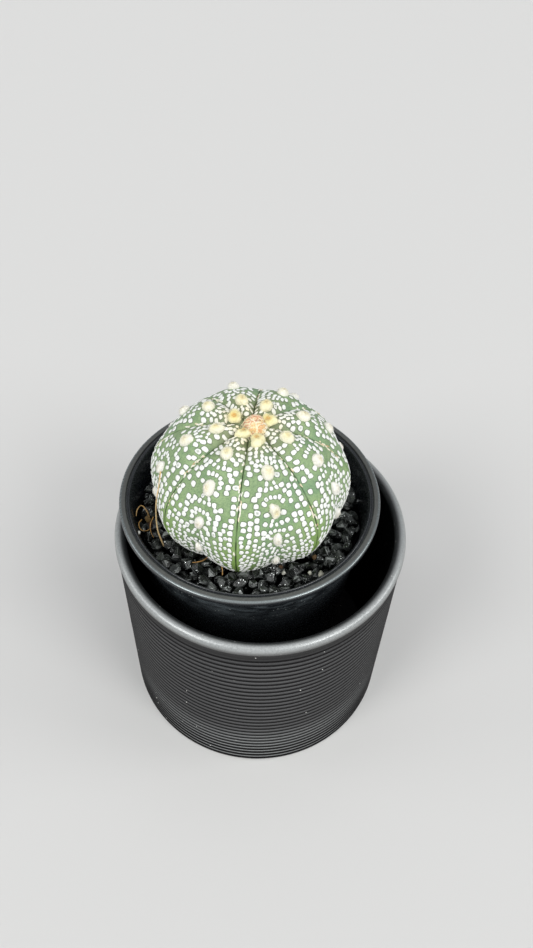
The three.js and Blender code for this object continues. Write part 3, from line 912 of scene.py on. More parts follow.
def unitFlecks(cushions, s, rng):
    found = []
    above, below = s["beyond"]
    ends = [cushions[0] - above, *cushions, cushions[-1] + below]
    for first, second in zip(ends, ends[1:]):
        for share, aside, size in s["unit"]:
            if first >= s["archesFrom"] and aside > 4:
                continue
            for side in (-1, 1) if aside else (1,):
                angle = first + share * (second - first) + rng.uniform(-0.4, 0.4)
                shift = rng.uniform(-0.15, 0.15) if aside > 2.5 else 0
                if rng.random() < 0.96:
                    found.append((angle, side * aside + shift, size))
    return found


def archFlecks(cushions, s, rng):
    found = []
    top = min(cushion for cushion in cushions if cushion >= s["archesFrom"])
    rows = int((s["lastAngle"] - top) / s["rowGap"]) + 3
    for side in (-1, 1):
        for column in range(s["columns"]):
            middle = s["firstColumn"] + column * s["columnGap"]
            start = top + s["archRise"] * middle**2 + (0.5 * s["rowGap"] if column % 2 else 0)
            for row in range(-1, rows):
                angle = start + (row + rng.uniform(-0.15, 0.15)) * s["rowGap"]
                aside = middle * (s["narrowTop"] + s["widening"] * (angle - top)) + rng.uniform(-0.25, 0.25)
                if angle > top - 2 and rng.random() < 0.95:
                    found.append((angle, side * aside, rng.choice([0.85, 0.95, 1.0])))
    return found


def grooveFlecks(rib, s, rng):
    found = []
    first, last = s["grooveAngles"]
    for side in (-1, 1):
        angle = first + rng.uniform(0, 4)
        while angle < last:
            aside = halfWidth(rib, side, angle) - s["grooveGap"] * rng.uniform(0.9, 1.15)
            if rng.random() < 0.85:
                found.append((angle, side * aside, 0.98))
            angle += s["grooveSpacing"] / (body["flatReach"] * degree) * rng.choice([0.8, 0.85, 1.0, 1.5])
    return found


def fillerFlecks(rib, s, rng):
    found = []
    for tries, size in s["fillers"]:
        for _ in range(tries):
            angle = rng.choice([rng.uniform(*angles) for angles in s["fillerAngles"]])
            side = rng.choice([-1, 1])
            aside = rng.uniform(0, halfWidth(rib, side, angle) * 0.9)
            found.append((angle, side * aside, size))
    return found


# The way a fleck points, its length and its width
def fleckForm(angle, aside, down, size, s, rng):
    low = smoothStep(angle, 62, 84)
    if math.hypot(aside, down) < s["turnWithin"] and angle < 90 and abs(aside) < 4:
        heading, slim = math.atan2(aside, down), 0.76 if abs(aside) < 2.5 else 0.9
    else:
        heading, slim = math.copysign(0.12 + 0.2 * low, aside), 1.0 - 0.24 * low
    size = size * (1 - 0.1 * low) * (0.94 if angle < 30 else 1.0)
    length = s["length"] * size * (1 + 0.06 * low) * rng.uniform(0.84, 1.1)
    width = s["width"] * size * slim * rng.uniform(0.84, 1.08)
    return heading, length, width


# Keeps each fleck that has room, as (angle, rib, edge, heading, length, width)
def fleckPlaces(s):
    rng = random.Random(s["seed"])
    crownMiddle = np.array(crown["middle"])
    points, gaps, places = [], [], []
    for rib, cushions in enumerate(cushionAngles):
        unit = unitFlecks(cushions, s, rng)
        found = unit + grooveFlecks(rib, s, rng) + archFlecks(cushions, s, rng)
        found += fillerFlecks(rib, s, rng)
        for number, (angle, aside, size) in enumerate(found):
            if not s["firstAngle"] < angle < s["lastAngle"]:
                continue
            half = halfWidth(rib, 1 if aside >= 0 else -1, angle)
            if half - abs(aside) < (0.85 if angle < 27 else 1.3):
                continue
            nearest = min(cushions, key=lambda cushion: abs(cushion - angle))
            down = (angle - nearest) * s["downPerDegree"]
            roomAside, roomDown = s["cushionRoom"]
            slimmer = 0.4 * smoothStep(nearest, 45, 70)
            if math.hypot(aside / (roomAside - slimmer), down / roomDown) < 1:
                continue
            point = skinPoint(angle, rib, aside / half) / mm
            if np.linalg.norm(point[:2] - crownMiddle[:2]) < crown["radius"] + s["crownRoom"]:
                continue
            heading, length, width = fleckForm(angle, aside, down, size, s, rng)
            gap = s["gap"] * math.sqrt(length * width) * (s["unitGap"] if number < len(unit) else 1.0)
            if places:
                apart = np.linalg.norm(np.array(points) - point, axis=1)
                if (apart < (gap + np.array(gaps)) / 2).any():
                    continue
            points.append(point)
            gaps.append(gap)
            places.append((angle, rib, aside / half, heading, length, width))
    return places


# Lays a flat template on the skin: x runs down a rib, y across it, z out from it
def layOnSkin(template, angle, rib, edge, heading, length, width, height):
    along = template[:, 0] * length / 2
    aside = template[:, 1] * width / 2
    down = along * math.cos(heading) - aside * math.sin(heading)
    across = along * math.sin(heading) + aside * math.cos(heading)
    side = 1 if edge >= 0 else -1
    half = halfWidth(rib, side, angle)
    angles = angle + down / (body["flatReach"] * degree)
    edges = np.clip(edge + across / half, -1, 1)
    out = skinAxes(angle, rib, edge)[2]
    lift = (template[:, 2] * height - 0.02) * mm
    return skinPoint(angles, rib, edges) + lift[:, None] * out


def makeFlecks(s):
    flat, faces = fleckTemplate(s)
    reach = np.hypot(flat[:, 0], flat[:, 1])
    turn = np.arctan2(flat[:, 1], flat[:, 0])
    corners = s["corners"]
    squarish = (np.abs(np.cos(turn)) ** corners + np.abs(np.sin(turn)) ** corners) ** (-1 / corners) * 0.91
    rng = random.Random(s["seed"] + 1)
    shapes, felt, creams = [], [], []
    for angle, rib, edge, heading, length, width in fleckPlaces(s):
        wobble = 1
        for waves in (2, 3):
            wobble = wobble + s["wobble"] * np.sin(waves * turn + rng.uniform(0, 6.28))
        shape = flat.copy()
        shape[:, :2] *= (wobble * squarish)[:, None]
        skirt = s["skirt"]
        points = layOnSkin(shape, angle, rib, edge, heading, length / skirt, width / skirt, s["height"])
        shapes.append((points, faces))
        pore = 0.6 if rng.random() < s["poreShare"] else 0.0
        # felt is 1 on the white top and 0 on the rim of painted shadow
        felt.append((1 - smoothStep(reach, skirt, skirt + 0.08)) * (1 - pore * (reach < 0.1)))
        creams.append(rng.uniform(0.2, 0.9) * smoothDrop(angle, 10, 32))
    piece = joinShapes("flecks", shapes, cream=creams)
    bpy.ops.object.shade_smooth()
    setAttribute(piece, "felt", np.concatenate(felt))
    return piece


def feltMaterial(s):
    material, tree, shader = newMaterial("whiteFelt")
    wool = grainNode(tree, 0.5, 4.0, *s["felt"])
    creamy = mixColour(tree, attribute(tree, "cream"), wool.outputs["Color"], s["cream"])
    # The rim of painted shadow is dark green, browner round the crown
    rim = grainNode(tree, 1.5, 3.0, *s["rim"])
    brown = mixColour(tree, attribute(tree, "cream"), rim.outputs["Color"], s["brownRimShadow"])
    colour = mixColour(tree, attribute(tree, "felt"), brown, creamy)
    setShader(tree, shader, colour, 0.85, wool.outputs["Height"], depth=0.12, Sheen_Weight=0.25)
    return material


feltPiece = makeFlecks(flecks)
finishPiece(feltPiece, "felt_flecks", feltMaterial(flecks), ["cactus_body"])
print("flecks laid,", len(feltPiece.data.polygons), "faces")


# Corky scales that break the line of each groove

scales = {
    "firstAngle": 16,
    "lastAngle": 82,
    "step": 1.9,
    "length": 1.5,
    "width": 0.58,
    "height": 0.2,
    "tones": [
        (0.0, (0.56, 0.38, 0.2)),
        (0.15, (0.86, 0.77, 0.55)),
        (0.45, (0.95, 0.92, 0.78)),
        (1.0, (0.96, 0.96, 0.92)),
    ],
    "finish": {"grain": (0.4, 3.0, (0.75, 0.72, 0.68)), "share": 1.0, "roughness": 0.8, "depth": 0.08},
    "seed": 5,
}


def makeScales(s):
    flat, faces = fleckTemplate(flecks)
    rng = random.Random(s["seed"])
    shapes, tints = [], []
    for rib in range(len(cushionAngles)):
        side = rng.choice([-1, 1])
        angle = s["firstAngle"] + rng.uniform(0, 4)
        while angle < s["lastAngle"]:
            if rng.random() < 0.15:
                side = -side
            # Most of them are half way down
            busy = smoothStep(angle, 26, 38) * smoothDrop(angle, 64, 76)
            if rng.random() < 0.35 + 0.45 * busy:
                half = halfWidth(rib, side, angle)
                for _ in range(rng.choice([1, 1, 1, 2, 3])):
                    edge = side * (1 - rng.uniform(0.15, 0.75) / half)
                    length = s["length"] * rng.uniform(0.5, 1.7)
                    width = s["width"] * rng.uniform(0.7, 1.5)
                    place = angle + rng.uniform(-0.8, 0.8)
                    heading = rng.uniform(-0.3, 0.3)
                    points = layOnSkin(flat, place, rib, edge, heading, length, width, s["height"])
                    shapes.append((points, faces))
                    tints.append(rng.random())
            angle += s["step"] * rng.uniform(0.7, 1.4)
    piece = joinShapes("scales", shapes, tint=tints)
    bpy.ops.object.shade_smooth()
    return piece


cork = tintedMaterial("cork", scales["tones"], scales["finish"])
finishPiece(makeScales(scales), "groove_scales", cork)
print("groove scales laid")


# Woolly cushions

cushion = {
    "width": 4.2,
    "lowWidth": 3.4,  # far down the ribs they are slimmer
    "length": 5.2,
    "height": 2.15,
    "openWidth": 1.16,  # the share by which hollow ones are larger
    "openLength": 1.04,
    "dome": (28, 16, -0.3, 0.09),  # segments, rings, height of the cut and shake of the points
    "hairs": 190,
    "hairLength": 0.48,
    "hairRadius": 0.055,
    "hairSides": 3,
    "hairSpread": 0.55,
    "hairLean": 0.5,
    "hairCurl": 0.35,
    "hollowAngle": 16,  # those above this angle are hollow and ochre in the middle,
    "alsoOpen": (0, 57),  # and so is this one, by rib and angle
    # How ragged the outline is, how far the hollow drifts from the middle, and its depth
    "young": (0.13, 0.36, 0.45),
    "old": (0.05, 0.15, 0.12),
    # Tones by age, at the edge, round the hollow and in it
    "edgeTones": [
        (0.0, (0.97, 0.92, 0.56)), (0.3, (0.98, 0.96, 0.8)),
        (0.6, (0.98, 0.97, 0.88)), (1.0, (0.98, 0.97, 0.93)),
    ],
    "bandTones": [
        (0.0, (0.97, 0.84, 0.36)), (0.3, (0.97, 0.93, 0.66)),
        (0.6, (0.96, 0.93, 0.76)), (1.0, (0.95, 0.93, 0.84)),
    ],
    "hollowTones": [
        (0.0, (0.8, 0.42, 0.07)), (0.22, (0.95, 0.84, 0.44)),
        (0.6, (0.95, 0.9, 0.66)), (1.0, (0.94, 0.92, 0.8)),
    ],
    "streaks": (0.58, 0.42, 0.2, 1),
    "finish": {
        "grain": (0.6, 4.0, (0.9, 0.88, 0.8)),
        "share": 0.8,
        "roughness": 0.9,
        "depth": 0.3,
        "Sheen_Weight": 0.3,
    },
    "seed": 23,
}


# Tapered tubes along paths, as one mesh; each path is a row of points
def tubePiece(name, paths, radius, sides, taper):
    paths = np.array(paths, float)
    count, steps, _ = paths.shape
    along = np.gradient(paths, axis=1)
    along /= np.maximum(np.linalg.norm(along, axis=2, keepdims=True), 1e-12)
    helper = np.where(np.abs(along[..., 2:3]) < 0.9, np.array([0, 0, 1.0]), np.array([1.0, 0, 0]))
    first = np.cross(along, helper)
    first /= np.linalg.norm(first, axis=2, keepdims=True)
    second = np.cross(along, first)
    share = np.linspace(0, 1, steps)
    radii = (1 - (1 - taper) * share)[None, :, None] * np.reshape(radius, (-1, 1, 1))
    rings = []
    for i in range(sides):
        turn = 2 * math.pi * i / sides
        rings.append(paths + radii * (math.cos(turn) * first + math.sin(turn) * second))
    points = np.stack(rings, 2)  # path, step, side
    base = np.arange(count)[:, None, None] * steps * sides
    step = np.arange(steps - 1)[None, :, None] * sides
    side = np.arange(sides)[None, None, :]
    after = (side + 1) % sides
    low, high = base + step, base + step + sides
    quads = np.stack([low + side, low + after, high + after, high + side], -1)
    start = np.arange(count)[:, None] * steps * sides
    cap = np.arange(sides)[None, :]
    ends = np.concatenate([start + cap[:, ::-1], start + (steps - 1) * sides + cap])
    piece = newPiece(name, points.reshape(-1, 3).tolist(), quads.reshape(-1, 4).tolist() + ends.tolist())
    bpy.ops.object.mode_set(mode="EDIT")
    bpy.ops.mesh.select_all(action="SELECT")
    bpy.ops.mesh.normals_make_consistent(inside=False)
    bpy.ops.object.mode_set(mode="OBJECT")
    bpy.ops.object.shade_smooth()
    return piece


# A ball cut off below, with its points a little astray
def makeDome(segments, rings, cut, astray, seed):
    bpy.ops.object.select_all(action="DESELECT")
    bpy.ops.mesh.primitive_uv_sphere_add(segments=segments, ring_count=rings, radius=1)
    bpy.ops.object.mode_set(mode="EDIT")
    bpy.ops.mesh.bisect(plane_co=(0, 0, cut), plane_no=(0, 0, 1), clear_inner=True, use_fill=True)
    bpy.ops.mesh.select_all(action="SELECT")
    bpy.ops.transform.vertex_random(offset=astray, seed=seed)
    bpy.ops.object.mode_set(mode="OBJECT")
    return bpy.context.object


def placeCushion(rib, angle, s, rng):
    place = skinPoint(angle, rib, 0.0)
    turns = np.stack(skinAxes(angle, rib, 0.0), 1)
    lower = smoothStep(angle, 45, 70)
    width = (s["width"] + (s["lowWidth"] - s["width"]) * lower) * rng.uniform(0.93, 1.08)
    length = s["length"] * rng.uniform(0.92, 1.06)
    height = s["height"] * rng.uniform(0.88, 1.12)
    if angle < s["hollowAngle"]:
        width, length = width * s["openWidth"], length * s["openLength"]
    return place, turns, turns * np.array([length / 2, width / 2, height]) * mm


def makePad(template, place, axes, young, age, s, rng):
    pad = template.copy()
    pad.data = template.data.copy()
    bpy.context.scene.collection.objects.link(pad)
    points = meshPoints(pad)
    turn = np.arctan2(points[:, 1], points[:, 0])
    ragged, drift, hollow = s["young"] if young else s["old"]
    ragged = ragged * (points[:, 2] < 0.97)
    for waves in (2, 3, 5):
        points[:, :2] *= (1 + ragged / waves * 2 * np.sin(waves * turn + rng.uniform(0, 6.28)))[:, None]
    down, across = rng.uniform(-drift, drift), rng.uniform(-drift, drift)
    core = np.exp(-((points[:, 0] - down) ** 2 + (points[:, 1] - across) ** 2) / 0.3) * (points[:, 2] > 0)
    points[:, 2] -= hollow * core
    pad.data.vertices.foreach_set("co", (place + points @ axes.T).ravel())
    setAttribute(pad, "age", np.full(len(points), age))
    setAttribute(pad, "core", core)
    return pad


def padHairs(place, turns, axes, s, rng):
    paths = []
    for _ in range(s["hairs"]):
        turn = rng.uniform(0, 2 * math.pi)
        rise = rng.uniform(-0.1, 1.0)
        flat = math.sqrt(max(0.0, 1 - rise * rise))
        root = np.array([flat * math.cos(turn), flat * math.sin(turn), rise * 0.93]) * 0.97
        way = root + np.array([rng.uniform(-s["hairSpread"], s["hairSpread"]) for _ in range(3)])
        way += np.array([-math.sin(turn), math.cos(turn), 0]) * s["hairLean"]
        way = turns @ (way / np.linalg.norm(way))
        curl = turns @ np.array([rng.uniform(-s["hairCurl"], s["hairCurl"]) for _ in range(3)])
        reach = s["hairLength"] * rng.uniform(0.5, 1.15) * mm
        start = place + axes @ root
        paths.append([start, start + way * reach * 0.5, start + (way + curl) * reach])
    return paths


def makeCushions(s):
    rng = random.Random(s["seed"])
    templates = [makeDome(*s["dome"], seed) for seed in (1, 2, 3, 4)]
    pads, paths, ages = [], [], []
    for rib, angles in enumerate(cushionAngles):
        for angle in angles:
            place, turns, axes = placeCushion(rib, angle, s, rng)
            age = float(np.clip((angle + rng.uniform(-4, 4) - 8) / 56, 0, 1))
            young = angle < s["hollowAngle"]
            if (rib, angle) == s["alsoOpen"]:
                young, age = True, 0.45
            pads.append(makePad(rng.choice(templates), place, axes, young, age, s, rng))
            paths += padHairs(place, turns, axes, s, rng)
            ages += [age] * s["hairs"]
    for template in templates:
        bpy.data.objects.remove(template)
    joined = joinPieces(pads, "pads")
    bpy.ops.object.shade_smooth()
    hairs = tubePiece("hairs", paths, s["hairRadius"] * mm, s["hairSides"], 0.35)
    corners = len(paths[0]) * s["hairSides"]
    setAttribute(hairs, "age", np.repeat(ages, corners))
    setAttribute(hairs, "core", np.zeros(len(ages) * corners))
    return joined, hairs


def woolMaterial(s):
    material, tree, shader = newMaterial("cushionWool")
    age = attribute(tree, "age")
    edge, band, hollow = (ramp(tree, age, s[part + "Tones"]) for part in ("edge", "band", "hollow"))
    core = attribute(tree, "core")
    tone = mixColour(tree, spread(tree, core, 0.02, 0.4), edge, band)
    tone = mixColour(tree, spread(tree, core, 0.5, 0.9), tone, hollow)
    fibres = spread(tree, noise(tree, 0.9, 4.0, (1, 1, 2)), 0.5, 0.62)
    streaks = calculate(tree, "MULTIPLY", fibres, spread(tree, core, 0.1, 0.8, 0.05, 0.4))
    setGrained(tree, shader, mixColour(tree, streaks, tone, s["streaks"]), **s["finish"])
    return material


padPiece, hairPiece = makeCushions(cushion)
wool = woolMaterial(cushion)
finishPiece(padPiece, "cushion_pads", wool, ["cactus_body"])
finishPiece(hairPiece, "cushion_hairs", wool)
print("cushions made,", len(hairPiece.data.polygons), "hair faces")


# Salmon strands that swirl over the crown's dome
def makeCrown(s):
    middle = np.array(s["middle"]) + np.array(s["shift"])
    radii = [s["radius"] * share for share in s["shape"]] + [s["height"]]
    dome = makeDome(*s["dome"])
    bpy.ops.object.mode_set(mode="EDIT")
    size = Vector(radii) * 0.93 * mm
    bpy.ops.transform.resize(value=size, center_override=(0, 0, 0))
    bpy.ops.transform.translate(value=middle * mm)
    bpy.ops.object.mode_set(mode="OBJECT")
    bpy.ops.object.shade_smooth()
    # The dome takes the darkest tone, as painted shade between the strands
    setAttribute(dome, "tint", np.zeros(len(dome.data.vertices)))
    rng = random.Random(s["seed"])
    paths, tints, steps = [], [], s["steps"]
    for _ in range(s["strands"]):
        x, y = rng.uniform(-0.85, 0.85), rng.uniform(-0.85, 0.85)
        if x * x + y * y > 0.8:
            continue
        turn = 2.2 * math.sin(1.9 * x + 0.6) + 1.7 * math.cos(2.3 * y) + rng.uniform(-0.35, 0.35)
        bend = rng.uniform(-0.6, 0.6)
        lift = rng.uniform(0.96, 1.14)
        lower = x - y > 0.35
        tints.append(rng.choice([0.45, 0.48, 0.84] if lower else [0.25, 0.84]) + rng.uniform(-0.1, 0.1))
        path = []
        for _ in range(steps):
            out = math.hypot(x, y)
            if out > s["edge"]:
                turn = math.atan2(y, x) + 2.2
            up = math.sqrt(max(0.1, 1 - out * out)) * lift
            path.append((middle + np.array([x, y, up]) * radii) * mm)
            x += s["stride"] * math.cos(turn)
            y += s["stride"] * math.sin(turn)
            turn += bend
        paths.append(path)
    thickness = [s["strandRadius"] * mm] * len(paths)
    for _ in range(s["fringe"]):
        turn, bend, out = rng.uniform(0, 2 * math.pi), rng.uniform(-0.08, 0.08), rng.uniform(0.74, 0.84)
        path = []
        for _ in range(steps):
            up = math.sqrt(max(0.03, 1.06 - out * out))
            place = np.array([out * math.cos(turn), out * math.sin(turn), up])
            path.append((middle + place * radii) * mm)
            out += 0.055
            turn += bend
        paths.append(path)
        tints.append(rng.uniform(0.75, 1.0))
        thickness.append(s["strandRadius"] * s["fringeShare"] * mm)
    strands = tubePiece("strands", paths, thickness, 5, 0.6)
    setAttribute(strands, "tint", np.repeat(tints, steps * 5))
    return joinPieces([dome, strands], "crownTuft")


salmonWool = tintedMaterial("salmonWool", crown["tones"], crown["finish"])
finishPiece(makeCrown(crown), "crown_tuft", salmonWool, ["crown_wool"])
print("crown tuft made")


# Lava chips

lava = {
    "level": 100.9,
    "over": 1.2,  # how far above the level the middle of a chip may lie
    "bedTop": 96.8,
    "bedBottom": 94.3,
    "bedInner": 28.5,
    "bedRings": 7,
    "bedWaves": (0.25, -0.15),
    "bedSteps": 120,
    "chipSize": 3.0,
    "chipCount": 380,
    "inner": 26.5,
    "outer": 43.0,
    "tries": 14,  # places for each chip, of which the lowest is taken
    "clear": 0.8,  # of the wall and the plant, as a share of a chip's size
    "sunk": 0.6,  # how deep the lowest chips lie in the bed
    "rest": (0.5, 0.9),  # how far a chip's middle lies over what is under it
    "sizes": (0.68, 1.12),
    "squash": [(0.85, 1.15), (0.75, 1.0), (0.65, 0.9)],
    "shapes": 10,
    "ball": 1.25,
    "cuts": 15,
    "cutAt": (0.62, 0.98),
    "smallest": 0.09,  # edge that is kept
    "shake": 0.06,
    "stone": ((0.002, 0.0023, 0.0022), (0.024, 0.027, 0.025)),
    "paler": (0.12, 0.132, 0.125, 1),
    # a few random faces painted lighter, as painted highlights on facets
    "litFacet": (0.32, 0.34, 0.327, 1),
    "glint": (0.6, 0.63, 0.61, 1),
    "gaps": (0.003, 0.003, 0.003, 1),  # painted shade in the gaps between the chips
    "seed": 41,
}


# Convex stones with flat broken faces, from a ball cut by planes
def chipShapes(s):
    rng = random.Random(s["seed"])
    shapes = []
    for _ in range(s["shapes"]):
        bpy.ops.object.select_all(action="DESELECT")
        bpy.ops.mesh.primitive_ico_sphere_add(subdivisions=1, radius=s["ball"])
        bpy.ops.object.mode_set(mode="EDIT")
        for _ in range(s["cuts"]):
            way = Vector((rng.gauss(0, 1), rng.gauss(0, 1), rng.gauss(0, 1))).normalized()
            bpy.ops.mesh.select_all(action="SELECT")
            cut = way * rng.uniform(*s["cutAt"])
            bpy.ops.mesh.bisect(plane_co=cut, plane_no=way, clear_outer=True, use_fill=True)
        bpy.ops.mesh.select_all(action="SELECT")
        bpy.ops.mesh.remove_doubles(threshold=s["smallest"])
        bpy.ops.mesh.quads_convert_to_tris()
        bpy.ops.transform.vertex_random(offset=s["shake"], seed=rng.randint(1, 99))
        bpy.ops.mesh.normals_make_consistent(inside=False)
        bpy.ops.object.mode_set(mode="OBJECT")
        shapes.append(takeShape())
    return shapes


def distanceToBody(point):
    heart = np.array([*body["axis"], body["heart"]])
    way = point - heart
    reach = np.linalg.norm(way)
    angle = math.degrees(math.acos(way[2] / reach))
    azimuth = math.degrees(math.atan2(way[1], way[0]))
    offsets = [(azimuth - a + 180) % 360 - 180 for a in body["ribAzimuths"]]
    rib = int(np.argmin(np.abs(offsets)))
    edge = 1 if offsets[rib] > 0 else -1
    span = abs(ribAzimuth(rib, edge) - body["ribAzimuths"][rib])
    share = min(1.0, abs(offsets[rib]) / span)
    skinPlace = skinPoint(min(angle, body["buriedAngle"]), rib, edge * share) / mm
    return reach - np.linalg.norm(skinPlace - heart)


# Chips are dropped one by one where the pile is lowest, on a height map with half-millimetre cells
def chipPlaces(s):
    rng = random.Random(s["seed"] + 1)
    cell, half = 0.5, 46.0
    size = int(2 * half / cell)
    heights = np.full((size, size), s["bedTop"] - s["sunk"])
    grid = (np.arange(size) + 0.5) * cell - half
    places = []
    for _ in range(s["chipCount"]):
        best = None
        for _ in range(s["tries"]):
            turn = rng.uniform(0, 2 * math.pi)
            radius = math.sqrt(rng.uniform(s["inner"] ** 2, s["outer"] ** 2))
            x, y = radius * math.cos(turn), radius * math.sin(turn)
            i, j = int((x + half) / cell), int((y + half) / cell)
            z = heights[i - 2:i + 3, j - 2:j + 3].max() + rng.uniform(*s["rest"])
            point = np.array([x + nurseryPot["axis"][0], y + nurseryPot["axis"][1], z])
            clear = s["chipSize"] * s["clear"]
            if nurseryWall(z) - radius > clear and distanceToBody(point) > clear:
                if best is None or z < best[2]:
                    best = (x, y, z, point)
        if best is None or best[2] > s["level"] + s["over"]:
            continue
        x, y, z, point = best
        scale = s["chipSize"] * rng.uniform(*s["sizes"])
        places.append((point, scale))
        flat = np.hypot(grid[:, None] - x, grid[None, :] - y)
        cap = z + 0.8 * np.sqrt(np.maximum(0, scale**2 - flat**2))
        heights = np.where(flat < scale * 0.9, np.maximum(heights, cap), heights)
    return places


def makeChips(s):
    rng = random.Random(s["seed"] + 2)
    shapes = chipShapes(s)
    chips, tones, shadedSides = [], [], []
    for place, scale in chipPlaces(s):
        corners, faces = rng.choice(shapes)
        turns = [rng.uniform(0, 2 * math.pi) for _ in range(3)]
        squash = Matrix.Diagonal([rng.uniform(*span) for span in s["squash"]])
        matrix = np.array(Matrix.Rotation(turns[0], 3, "X") @ Matrix.Rotation(turns[1], 3, "Y") @ squash)
        turned = corners @ matrix.T
        chips.append(((place + scale * turned) * mm, faces))
        # The lower side of each chip is painted shade
        shadedSides.append(smoothDrop(turned[:, 2], -0.3, 0.35))
        tones.append(rng.random())
    piece = joinShapes("chips", chips, tone=tones)
    setAttribute(piece, "low", np.concatenate(shadedSides))
    # A few random faces get a painted highlight
    setAttribute(piece, "litFacet", [rng.random() ** 5 for _ in piece.data.polygons], "FACE")
    return piece


def makeBed(s):
    inner, outer = s["bedInner"], nurseryWall(s["bedTop"]) - 0.3
    ring = [(outer - 0.3, s["bedBottom"]), (outer, s["bedTop"] - 0.2)]
    crest, trough = s["bedWaves"]
    for i in range(1, s["bedRings"] + 1):
        radius = outer + (inner - outer) * i / s["bedRings"]
        ring.append((radius, s["bedTop"] + (crest if i % 2 else trough)))
    ring += [(inner - 0.3, s["bedBottom"]), ring[0]]
    return turnProfile(ring, nurseryPot["axis"], s["bedSteps"])


def lavaMaterial(s):
    material, tree, shader = newMaterial("lava")
    stone = grainNode(tree, 1.0, 5.0, *s["stone"])
    paler = spread(tree, attribute(tree, "tone"), 0.6, 1.0, 0.0, 0.4)
    pale = mixColour(tree, paler, stone.outputs["Color"], s["paler"])
    pale = mixColour(tree, attribute(tree, "litFacet"), pale, s["litFacet"])
    glint = calculate(tree, "MAXIMUM", speckMask(tree, 0.6, 0.36, 0.24), speckMask(tree, 1.2, 0.22, 0.16))
    glinting = mixColour(tree, glint, pale, s["glint"])
    # Painted shade: the lower sides go black, with black metal that kills their reflections
    low = attribute(tree, "low")
    colour = mixColour(tree, low, glinting, s["gaps"])
    metallic = calculate(tree, "MAXIMUM", low, glint)
    rough = spread(tree, noise(tree, 0.6), 0.35, 0.65, 0.08, 0.3)
    setShader(tree, shader, colour, rough, noise(tree, 0.6), depth=0.3, IOR=1.48, Metallic=metallic)
    return material


lavaStone = lavaMaterial(lava)
chipPiece = makeChips(lava)
finishPiece(chipPiece, "lava_chips", lavaStone, ["gravel"])
bed = makeBed(lava)
# Black all over: a sheet of painted shade under the chips, as the gaps between them
for label, value in {"tone": 0.0, "low": 1.0, "litFacet": 0.0}.items():
    setAttribute(bed, label, np.full(len(bed.data.vertices), value))
finishPiece(bed, "shaded_gravel_bed", lavaStone, ["gravel"])
print("lava chips laid,", len(chipPiece.data.polygons), "faces")


# What has dropped on the gravel: dry roots and hairs of fibre, pale grains and brown bits

litter = {
    "fibreRadius": 0.16,
    "fibreSteps": 22,
    "fibreSides": 6,
    "fibreTones": [(0.0, (0.36, 0.17, 0.04)), (0.5, (0.62, 0.36, 0.11)), (1.0, (0.93, 0.74, 0.42))],
    "grainTones": [
        (0.0, (0.07, 0.03, 0.016)),
        (0.3, (0.22, 0.14, 0.05)),
        (0.75, (0.55, 0.55, 0.47)),
        (1.0, (0.9, 0.9, 0.86)),
    ],
    # The points that each fibre passes, in millimetres
    "fibres": [
        [
            (-35.7, -5.4, 134.8), (-36.1, -10.2, 131), (-37.1, -13.6, 126), (-37.8, -14.1, 118),
            (-37.6, -15.5, 111), (-36.6, -16.3, 106), (-35.9, -16.5, 102.3),
        ],
        [
            (-47.6, -4.2, 104.3), (-47.4, -1.9, 105.4), (-45.9, -0.1, 105.9), (-43.9, -1.2, 104.2),
            (-42.8, -3.2, 103.0),
        ],
        [
            (-45.5, -5.0, 103.4), (-46.2, -7.4, 104.0), (-45.2, -10.0, 103.9), (-43.2, -10.4, 103.5),
            (-41.4, -9.0, 103.4),
        ],
        [(-40.9, -5.0, 105.4), (-41.7, -8.1, 104.8), (-41.3, -10.9, 103.9), (-40.1, -13.0, 103.0)],
        [(-24.4, -23.9, 103.3), (-22.6, -24.0, 103.9), (-20.5, -23.4, 104.1), (-18.3, -21.6, 104.4)],
        [(-14.0, -25.0, 104.4), (-13.3, -26.8, 104.2), (-13.2, -28.8, 103.2)],
    ],
    # Place, size and tint, from brown to white, of each grain
    "grains": [
        ((-45.8, -11.3, 103.4), 0.75, 1.0),
        ((22.7, -26.4, 102.9), 1.15, 0.72),
        ((9.1, -26.8, 103.2), 0.8, 0.8),
        ((18.7, -26.4, 103.1), 0.8, 0.75),
        ((20.3, -19.4, 103.3), 0.95, 0.12),
        ((8.0, -24.0, 103.0), 0.85, 0.05),
        ((-43.4, -4.4, 102.9), 1.3, 0.3),
        ((-42.0, -6.5, 102.6), 1.0, 0.0),
    ],
    "fibreFinish": {"grain": (1.2, 4.0, (0.6, 0.52, 0.42)), "share": 0.8, "roughness": 0.6, "depth": 0.1},
    "grainFinish": {"grain": (0.6, 4.0, (0.62, 0.6, 0.56)), "share": 0.8, "roughness": 0.8, "depth": 0.25},
    "seed": 53,
}


# Evenly spread points on a smooth curve through a few
def smoothPath(points, count):
    points = np.array(points, float)
    padded = np.vstack([2 * points[0] - points[1], points, 2 * points[-1] - points[-2]])
    place = np.linspace(0, len(points) - 1 - 1e-9, count)
    index = place.astype(int)
    t = (place - index)[:, None]
    before, here, there, after = (padded[index + k] for k in range(4))
    curve = 2 * here + (there - before) * t + (2 * before - 5 * here + 4 * there - after) * t**2
    return (curve + (3 * here - before - 3 * there + after) * t**3) / 2


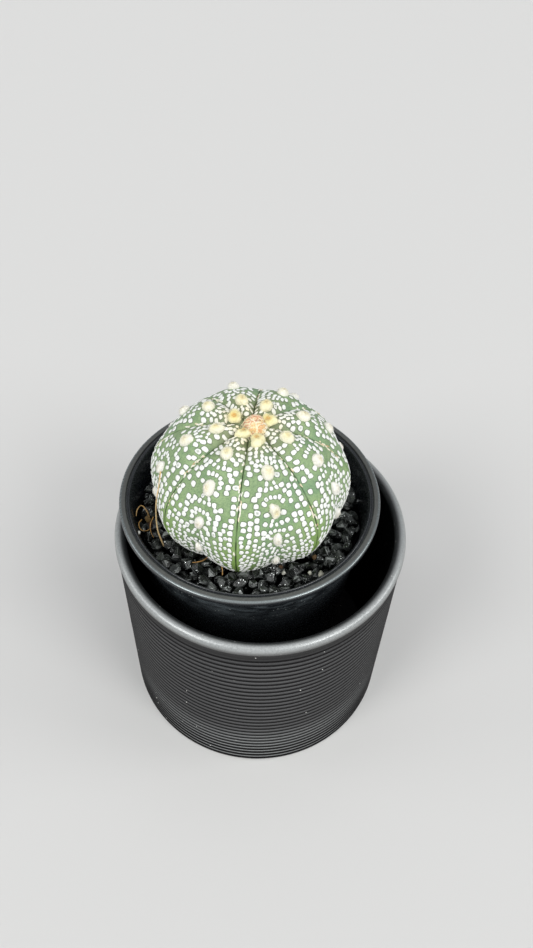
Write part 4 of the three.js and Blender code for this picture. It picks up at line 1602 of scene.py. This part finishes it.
def makeFibres(s):
    rng = random.Random(s["seed"])
    paths, tints, radii = [], [], []
    steps = s["fibreSteps"]
    for points in s["fibres"]:
        long = len(points) > 5
        for strand in range(2):
            path = smoothPath(points, steps)
            drift = np.array([rng.uniform(-0.35, 0.35), rng.uniform(-0.35, 0.35), 0.15]) * strand
            paths.append((path + drift * np.linspace(0.2, 1, steps)[:, None]) * mm)
            tints.append(rng.uniform(0.75, 1.0) if long else rng.uniform(0.1, 0.65))
            radii.append(s["fibreRadius"] * (1.7 if long else 1.0) * mm)
    piece = tubePiece("fibres", paths, radii, s["fibreSides"], 0.45)
    setAttribute(piece, "tint", np.repeat(tints, steps * s["fibreSides"]))
    return piece


def makeGrains(s, shapes):
    rng = random.Random(s["seed"] + 1)
    grains = []
    for place, size, _ in s["grains"]:
        corners, faces = rng.choice(shapes)
        turn = Matrix.Rotation(rng.uniform(0, 6.28), 3, "Z") @ Matrix.Rotation(rng.uniform(0, 6.28), 3, "X")
        grains.append(((np.array(place) + size * corners @ np.array(turn).T) * mm, faces))
    return joinShapes("grains", grains, tint=[tint for _, _, tint in s["grains"]])


fibre = tintedMaterial("dryFibre", litter["fibreTones"], litter["fibreFinish"])
grain = tintedMaterial("paleGrain", litter["grainTones"], litter["grainFinish"])
finishPiece(makeFibres(litter), "dry_fibres", fibre)
finishPiece(makeGrains(litter, chipShapes(lava)), "pale_grains", grain)
print("fibres and grains laid")


# Soil, below the gravel: the frame's own solid

soilLooks = {
    "peat": ((0.018, 0.011, 0.007), (0.085, 0.055, 0.034)),
    "grit": (0.5, 0.46, 0.4, 1),
}


def soilMaterial(s):
    material, tree, shader = newMaterial("peatSoil")
    peat = grainNode(tree, 3.0, 5.0, *s["peat"])
    grit = speckMask(tree, 3.2, 0.25, 0.16)
    colour = mixColour(tree, grit, peat.outputs["Color"], s["grit"])
    setShader(tree, shader, colour, 0.95, peat.outputs["Height"], depth=0.9)
    return material


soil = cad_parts["soil"]
soil.data.materials.clear()
soil.data.materials.append(soilMaterial(soilLooks))
print("soil finished")
